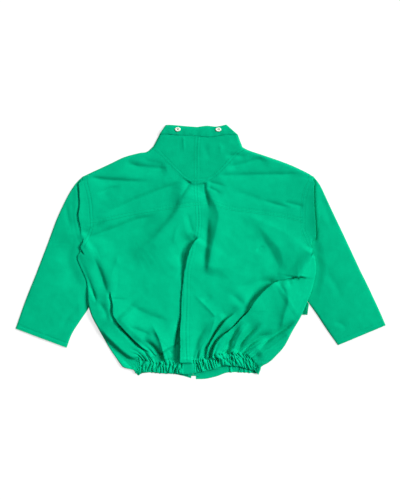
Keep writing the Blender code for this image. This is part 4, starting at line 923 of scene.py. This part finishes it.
def hem_front(half):
    """Front casing: plain beside the zip, then gathered, and folded round to the back."""
    cols, rows, arc_cols, strip_cols = 190, 16, 8, 20
    low_line = curve(half.front_low, 60)
    high_line = curve(half.front_hem, 60)
    edge = curve(half.hem_edge, rows)[::-1]
    seam = np.linspace(half.casing_end[1], half.casing_end[0], rows + 1)
    into = unit(seam - edge)
    start = edge + into * HEM_FOLD
    t = np.linspace(0, 1, cols + 1)
    px = low_line[0, 0] + (start[:, :1] - low_line[0, 0]) * t
    v = np.linspace(0, 1, rows + 1)[:, None]
    order = int(half.way)
    y_low = np.interp(px, low_line[::order, 0], low_line[::order, 1])
    y_high = np.interp(px, high_line[::order, 0], high_line[::order, 1])
    gathered = ease((np.abs(px) - min(abs(half.gather.x_from), abs(half.gather.x_to))) / 4)
    wave = gathered * (1 - ruffled(gaps_in(half.gather), px, v))
    py = y_low + (y_high - y_low) * v
    plan = np.dstack([px, py])
    grid = [np.dstack([px, py - 1.0 * wave * (1 - v), wave * (3.4 - 1.4 * v)])]
    folded_high = 2 * HEM_FOLD
    for k in range(1, arc_cols + strip_cols + 1):
        past = k - arc_cols
        if past <= 0:
            angle = pi * k / arc_cols
            at = start - into * HEM_FOLD * np.sin(angle)
            z = HEM_FOLD * (1 - np.cos(angle))
            crinkle = 0.0
        else:
            at = start + (seam - start) * past / strip_cols
            z = folded_high + (upper(at)[:, 2] - folded_high - 0.4) * min(past / 5, 1)
            ridge = np.abs(np.sin(k * 0.62 + 2.6 * v[:, 0] + np.sin(5 * v[:, 0] + k)))
            crinkle = 3.0 * (0.6 - ridge) * min(past / 4, 1) * (1 - 0.6 * v[:, 0])
        grid.append(np.dstack([at[:, 0], at[:, 1], z + crinkle + 0 * at[:, 0]]).reshape(rows + 1, 1, 3))
    grid = np.concatenate(grid, axis=1)
    full_plan = np.concatenate([plan, grid[:, cols + 1:, :2]], axis=1)
    obj = cloth("hem_front_" + half.name, grid, full_plan, BODY, faces_up=False)


def collar_band():
    """The band round the collar's top, flattened, and open at the zip."""
    rows = 12
    low_line = side_to_side(BAND_LOW_L, BAND_LOW_R, 60)
    top_line = side_to_side(BAND_TOP_L, BAND_TOP_R, 60)
    radius = BAND_HIGH / 2
    turn = np.radians(np.linspace(0, 180, 13))
    grid = []
    plan = []
    for v in np.arange(rows + 1) / rows:
        x_left = low_line[0, 0] * (1 - v) + top_line[0, 0] * v
        x_right = low_line[-1, 0] * (1 - v) + top_line[-1, 0] * v
        below_left = np.linspace(OPEN_L, x_left + radius, 24)[:-1]
        across = np.linspace(x_left + radius, x_right - radius, 100)[1:-1]
        below_right = np.linspace(x_right - radius, OPEN_R, 24)[1:]
        xs = np.concatenate([below_left, x_left + radius - radius * np.sin(turn), across,
                             x_right - radius + radius * np.sin(turn), below_right])
        zs = np.concatenate([0 * below_left, radius - radius * np.cos(turn), 0 * across + BAND_HIGH,
                             radius + radius * np.cos(turn), 0 * below_right])
        f = (xs - x_left) / (x_right - x_left)
        x_low = low_line[0, 0] + (low_line[-1, 0] - low_line[0, 0]) * f
        x_top = top_line[0, 0] + (top_line[-1, 0] - top_line[0, 0]) * f
        y = (np.interp(x_low, low_line[:, 0], low_line[:, 1]) + 0.4) * (1 - v)
        y += np.interp(x_top, top_line[:, 0], top_line[:, 1]) * v
        on_top = zs / BAND_HIGH
        ripple = 0.35 * np.sin(xs / 6.5) * np.sin(pi * v) + 0.25 * np.sin(xs / 2.9 + 1.2) * (1 - v)
        roll = 1.4 * np.sqrt(np.sin(pi * min(v * 0.95 + 0.02, 1.0)))
        zs = zs + on_top * (ripple + roll + 0.3) - on_top * 4.8 * max(0.0, v - 0.8)
        round_it = np.cumsum(np.hypot(np.diff(xs, prepend=xs[0]), np.diff(zs, prepend=zs[0])))
        grid.append(np.column_stack([xs, y, zs]))
        plan.append(np.column_stack([round_it, y]))
    plan = np.array(plan)
    obj = cloth("collar_band", np.array(grid), plan, COLLAR, faces_up=False, thick=DOUBLED)


def collar_front(half):
    """Front half of the standing collar, flat under the neck insert."""
    count = 30
    low = curve(half.front_neck, count)
    line = curve(half.band, 60)[::int(half.way)]
    xs = np.linspace(half.opening, half.band[-1][0], count + 1)
    high = np.column_stack([xs, np.interp(xs, line[:, 0], line[:, 1])])
    up_the_zip = np.linspace(low[0, 1], high[0, 1], count + 1)
    left = np.column_stack([np.full(count + 1, half.opening), up_the_zip])
    plan = coons(low, high, left, curve(half.neck_side, count))
    z = 0.2 + 0.3 * (1 + np.sin(plan[..., 0] / 14.0) * np.sin(plan[..., 1] / 19.0))
    obj = cloth("collar_front_" + half.name, np.dstack([plan, z]), plan, COLLAR, faces_up=False)


def pocket_flap(flap):
    """A flap under the front that it is sewn to, flat but for the right one's curled corner."""
    cols, rows = 40, 12
    low = np.linspace((flap.x_in, flap.y_low), (flap.x_out, flap.y_low), cols + 1)
    high = np.linspace((flap.x_in, flap.y_high), (flap.x_out_top, flap.y_high), cols + 1)
    inner = np.linspace(low[0], high[0], rows + 1)
    bent = np.array((low[-1], (flap.x_out_mid, flap.y_mid), high[-1]))
    plan = coons(low, high, inner, spaced(bent, np.linspace(0, 1, rows + 1)))
    curl = ease((plan[..., 0] - CURL_FROM) / 13.0)
    z = 0.1 + 0.25 * (1 + np.sin(plan[..., 0] / 17.0)) + 5.0 * curl
    obj = cloth("pocket_flap_" + flap.side, np.dstack([plan, z]), plan, BODY, faces_up=False,
                thick=DOUBLED)


def zip_tape(side, x0, x1):
    """One woven tape of the closed zip, inside the fronts."""
    low = np.linspace((x0, ZIP_LOW), (x1, ZIP_LOW), 9)
    high = np.linspace((x0, ZIP_HIGH), (x1, ZIP_HIGH), 9)
    plan = coons(low, high, np.linspace(low[0], high[0], 121), np.linspace(low[-1], high[-1], 121))
    z = 2.6 + 0.12 * np.sin(plan[..., 1] / 9.0)
    obj = cloth("zip_tape_" + side, np.dstack([plan, z]), plan, YOKE)


def solid(name, bm, nodes, material):
    """A finished rigid piece from a bmesh in millimetres."""
    bmesh.ops.scale(bm, vec=(MM, MM, MM), verts=bm.verts[:])
    bmesh.ops.recalc_face_normals(bm, faces=bm.faces[:])
    return link(put(name, mesh_of(name, bm)), nodes, material)


TOOTH_PITCH = 2.5
TOOTH_SIZE = (3.4, 1.7, 1.3)
TOOTH_OUT = 0.7       # how far a tooth's middle is to its side of the zip's line
TOOTH_TAPER = 0.62    # a tooth's length at its inner end, as a share of that at the outer one
TOOTH_HIGH = 0.95     # height of its middle


def zip_chain():
    """Moulded teeth, one by one from either side, on the closed zip."""
    bm = bmesh.new()
    for k in range(int((ZIP_HIGH - ZIP_LOW) / TOOTH_PITCH)):
        side = -1 if k % 2 else 1
        y = ZIP_LOW + TOOTH_PITCH * (k + 0.5)
        made = bmesh.ops.create_cube(bm, size=1.0)
        for vert in made["verts"]:
            taper = 1.0 if vert.co.x * side > 0 else TOOTH_TAPER
            vert.co.x = ZIP_X + side * TOOTH_OUT + vert.co.x * TOOTH_SIZE[0]
            vert.co.y = y + vert.co.y * TOOTH_SIZE[1] * taper
            vert.co.z = TOOTH_HIGH + vert.co.z * TOOTH_SIZE[2]
    obj = solid("zip_chain_teeth", bm, ["zip_chain"], ZIP)
    bevel = obj.modifiers.new("soft_edges", "BEVEL")
    bevel.width = 0.25 * MM
    bevel.segments = 1


SNAP_LIFT = 1.9       # the caps sit on the rolled top of the band
SNAP_SQUASH = 0.7     # the caps look oval, as they lean with the band's rolled top
SnapStep = namedtuple("SnapStep", "radius z")
SNAP_RIM = [SnapStep(*row) for row in (
    (0.01, 0.2), (2.3, 0.2), (2.8, 0.5), (3.3, 1.25), (4.1, 1.7), (5.0, 1.8), (6.0, 1.6), (6.7, 1.15),
    (7.0, 0.5), (6.9, -1.2),
)]
SNAP_POST = [SnapStep(*row) for row in ((0.01, 1.5), (1.0, 1.4), (1.6, 1.0), (1.8, 0.3))]


def snap(side, x, y):
    """A press stud's cap: a rounded enamel ring round a sunk post."""
    for part, profile, material in (("cap", SNAP_RIM, SNAP), ("post", SNAP_POST, SNAP_WELL)):
        bm = bmesh.new()
        verts = [bm.verts.new((step.radius, 0.0, step.z)) for step in profile]
        edges = [bm.edges.new(pair) for pair in zip(verts, verts[1:])]
        bmesh.ops.spin(bm, geom=verts + edges, cent=(0, 0, 0), axis=(0, 0, 1), angle=2 * pi, steps=40)
        bmesh.ops.remove_doubles(bm, verts=bm.verts[:], dist=0.02)
        bmesh.ops.scale(bm, vec=(1.0, SNAP_SQUASH, 1.0), verts=bm.verts[:])
        bmesh.ops.translate(bm, vec=(x, y, BAND_HIGH + SNAP_LIFT), verts=bm.verts[:])
        nodes = ["snap_" + side] if part == "cap" else []
        solid(f"snap_{side}_{part}", bm, nodes, material).data.shade_smooth()


# ------------------------------------------------------------------ stitches
STITCH_PITCH = 3.0
STITCH_SIZE = (2.6, 0.8, 0.24)
# A stitch's corners, given as shares of its length, width and height, and its faces.
STITCH_SHAPE = np.array((
    (-0.5, 0, 0), (-0.3, 0.5, 0.1), (-0.3, -0.5, 0.1), (-0.25, 0, 1), (0.25, 0, 1), (0.3, 0.5, 0.1),
    (0.3, -0.5, 0.1), (0.5, 0, 0),
)) * STITCH_SIZE
STITCH_FACES = (
    (0, 2, 3), (0, 3, 1), (1, 3, 4, 5), (3, 2, 6, 4), (4, 7, 5), (4, 6, 7), (0, 1, 2), (7, 6, 5),
    (1, 5, 6, 2),
)


def run_of_stitches(points):
    """Corners of low, faceted stitches end to end along a line on the cloth."""
    length = np.concatenate([[0.0], np.cumsum(np.linalg.norm(np.diff(points, axis=0), axis=1))])
    mids = np.arange(STITCH_PITCH / 2, length[-1], STITCH_PITCH)
    at = np.stack([np.interp(mids, length, points[:, k]) for k in range(3)], axis=-1)
    ahead = np.stack([np.interp(mids + 0.6, length, points[:, k]) for k in range(3)], axis=-1)
    way = ahead - at
    way /= np.maximum(np.linalg.norm(way, axis=1, keepdims=True), 1e-9)
    side = np.cross(way, (0, 0, 1.0))
    side /= np.maximum(np.linalg.norm(side, axis=1, keepdims=True), 1e-9)
    frames = (way, side, np.cross(side, way))
    along, across, up = (STITCH_SHAPE[None, :, k:k + 1] * frames[k][:, None] for k in range(3))
    return at[:, None] + along + across + up


def stitches(name, runs):
    """All the stitches of several lines as one joined mesh."""
    corners = np.concatenate([run_of_stitches(run) for run in runs])
    faces = [tuple(8 * k + i for i in face) for k in range(len(corners)) for face in STITCH_FACES]
    mesh = bpy.data.meshes.new(name)
    mesh.from_pydata((corners.reshape(-1, 3) * MM).tolist(), [], faces)
    mesh.validate()
    link(put(name, mesh), [], THREAD_WITH_SHADE)


def beside(line, away):
    """A line moved sideways, to its left for a positive distance."""
    way = unit(np.gradient(line, axis=0))
    return line + away * np.stack([-way[:, 1], way[:, 0]], axis=1)


def on_cloth(line):
    return upper(spaced(line, np.linspace(0, 1, int(length_of(line)))))


def back_stitches():
    """Twin-needle seams of the back, a pair of lines for each."""
    runs = []
    for seam in SEAMS:
        line = curve(seam.knots, 80)
        runs += [on_cloth(beside(line, seam.first)), on_cloth(beside(line, seam.second))]
    stitches("back_stitching", runs)


# ------------------------------------------------------------- build the jacket
for make_half in (back, front, sleeve):
    for jacket_half in HALVES:
        make_half(jacket_half)
hem_back()
for jacket_half in HALVES:
    hem_front(jacket_half)
collar_band()
for jacket_half in HALVES:
    collar_front(jacket_half)
for flap_row in FLAPS:
    pocket_flap(flap_row)
zip_tape("left", ZIP_X - TAPE_WIDE, ZIP_X - TAPE_GAP)
zip_tape("right", ZIP_X + TAPE_GAP, ZIP_X + TAPE_WIDE)
zip_chain()
for snap_side, snap_x, snap_y in SNAPS:
    snap(snap_side, snap_x, snap_y)
back_stitches()


# --------------------------------------------------------------------- stage
FLOOR_SIZE = 40.0
FLOOR_GREY = 0.27
FLOOR_GLOW = 0.7
SURROUND = 0.05
PHOTO_SIZE = (400, 500)
SENSOR = 36.0
CAMERA_HIGH = 2.4
CLOTH_LEVEL = 0.006   # the height at which a pixel is PIXEL wide

# Turn is in degrees from +X towards +Y, and height above the surface.
Sun = namedtuple("Sun", "name turn height spread power")
SUNS = (Sun("key", 16.0, 38.0, 24.0, 5.1), Sun("top", 100.0, 38.0, 40.0, 1.45))


def floor():
    """A plain surface under the jacket: its glow keeps it white, and its grey takes a soft shade."""
    bm = bmesh.new()
    bmesh.ops.create_grid(bm, x_segments=1, y_segments=1, size=FLOOR_SIZE)
    obj = put("floor", mesh_of("floor", bm))
    mat, _, shader = new_material("floor")
    set_inputs(shader, Base_Color=(FLOOR_GREY, FLOOR_GREY, FLOOR_GREY, 1), Roughness=0.9,
               Emission_Color=(1, 1, 1, 1), Emission_Strength=FLOOR_GLOW)
    obj.data.materials.append(mat)


def studio():
    """Soft main light from the right, a weaker one from the collar's side, and a faint surround."""
    for sun in SUNS:
        data = bpy.data.lights.new(sun.name, "SUN")
        data.energy = sun.power
        data.angle = radians(sun.spread)
        put(sun.name, data).rotation_euler = (0.0, radians(90 - sun.height), radians(sun.turn))
    world = bpy.data.worlds.new("surround")
    world.use_nodes = True
    set_inputs(world.node_tree.nodes["Background"], Color=(1, 1, 1, 1), Strength=SURROUND)
    bpy.context.scene.world = world
    bpy.context.scene.view_settings.view_transform = "Standard"


def camera():
    """Straight above; the frame is PHOTO_SIZE pixels of PIXEL each."""
    wide, high = PHOTO_SIZE
    data = bpy.data.cameras.new("camera")
    data.sensor_width = SENSOR
    data.lens = SENSOR * CAMERA_HIGH / (high * PIXEL * MM)
    data.clip_end = 50.0
    obj = put("camera", data)
    obj.location = ((wide / 2 - MIDDLE[0]) * PIXEL * MM, (MIDDLE[1] - high / 2) * PIXEL * MM,
                    CAMERA_HIGH + CLOTH_LEVEL)
    bpy.context.scene.camera = obj


floor()
studio()
camera()
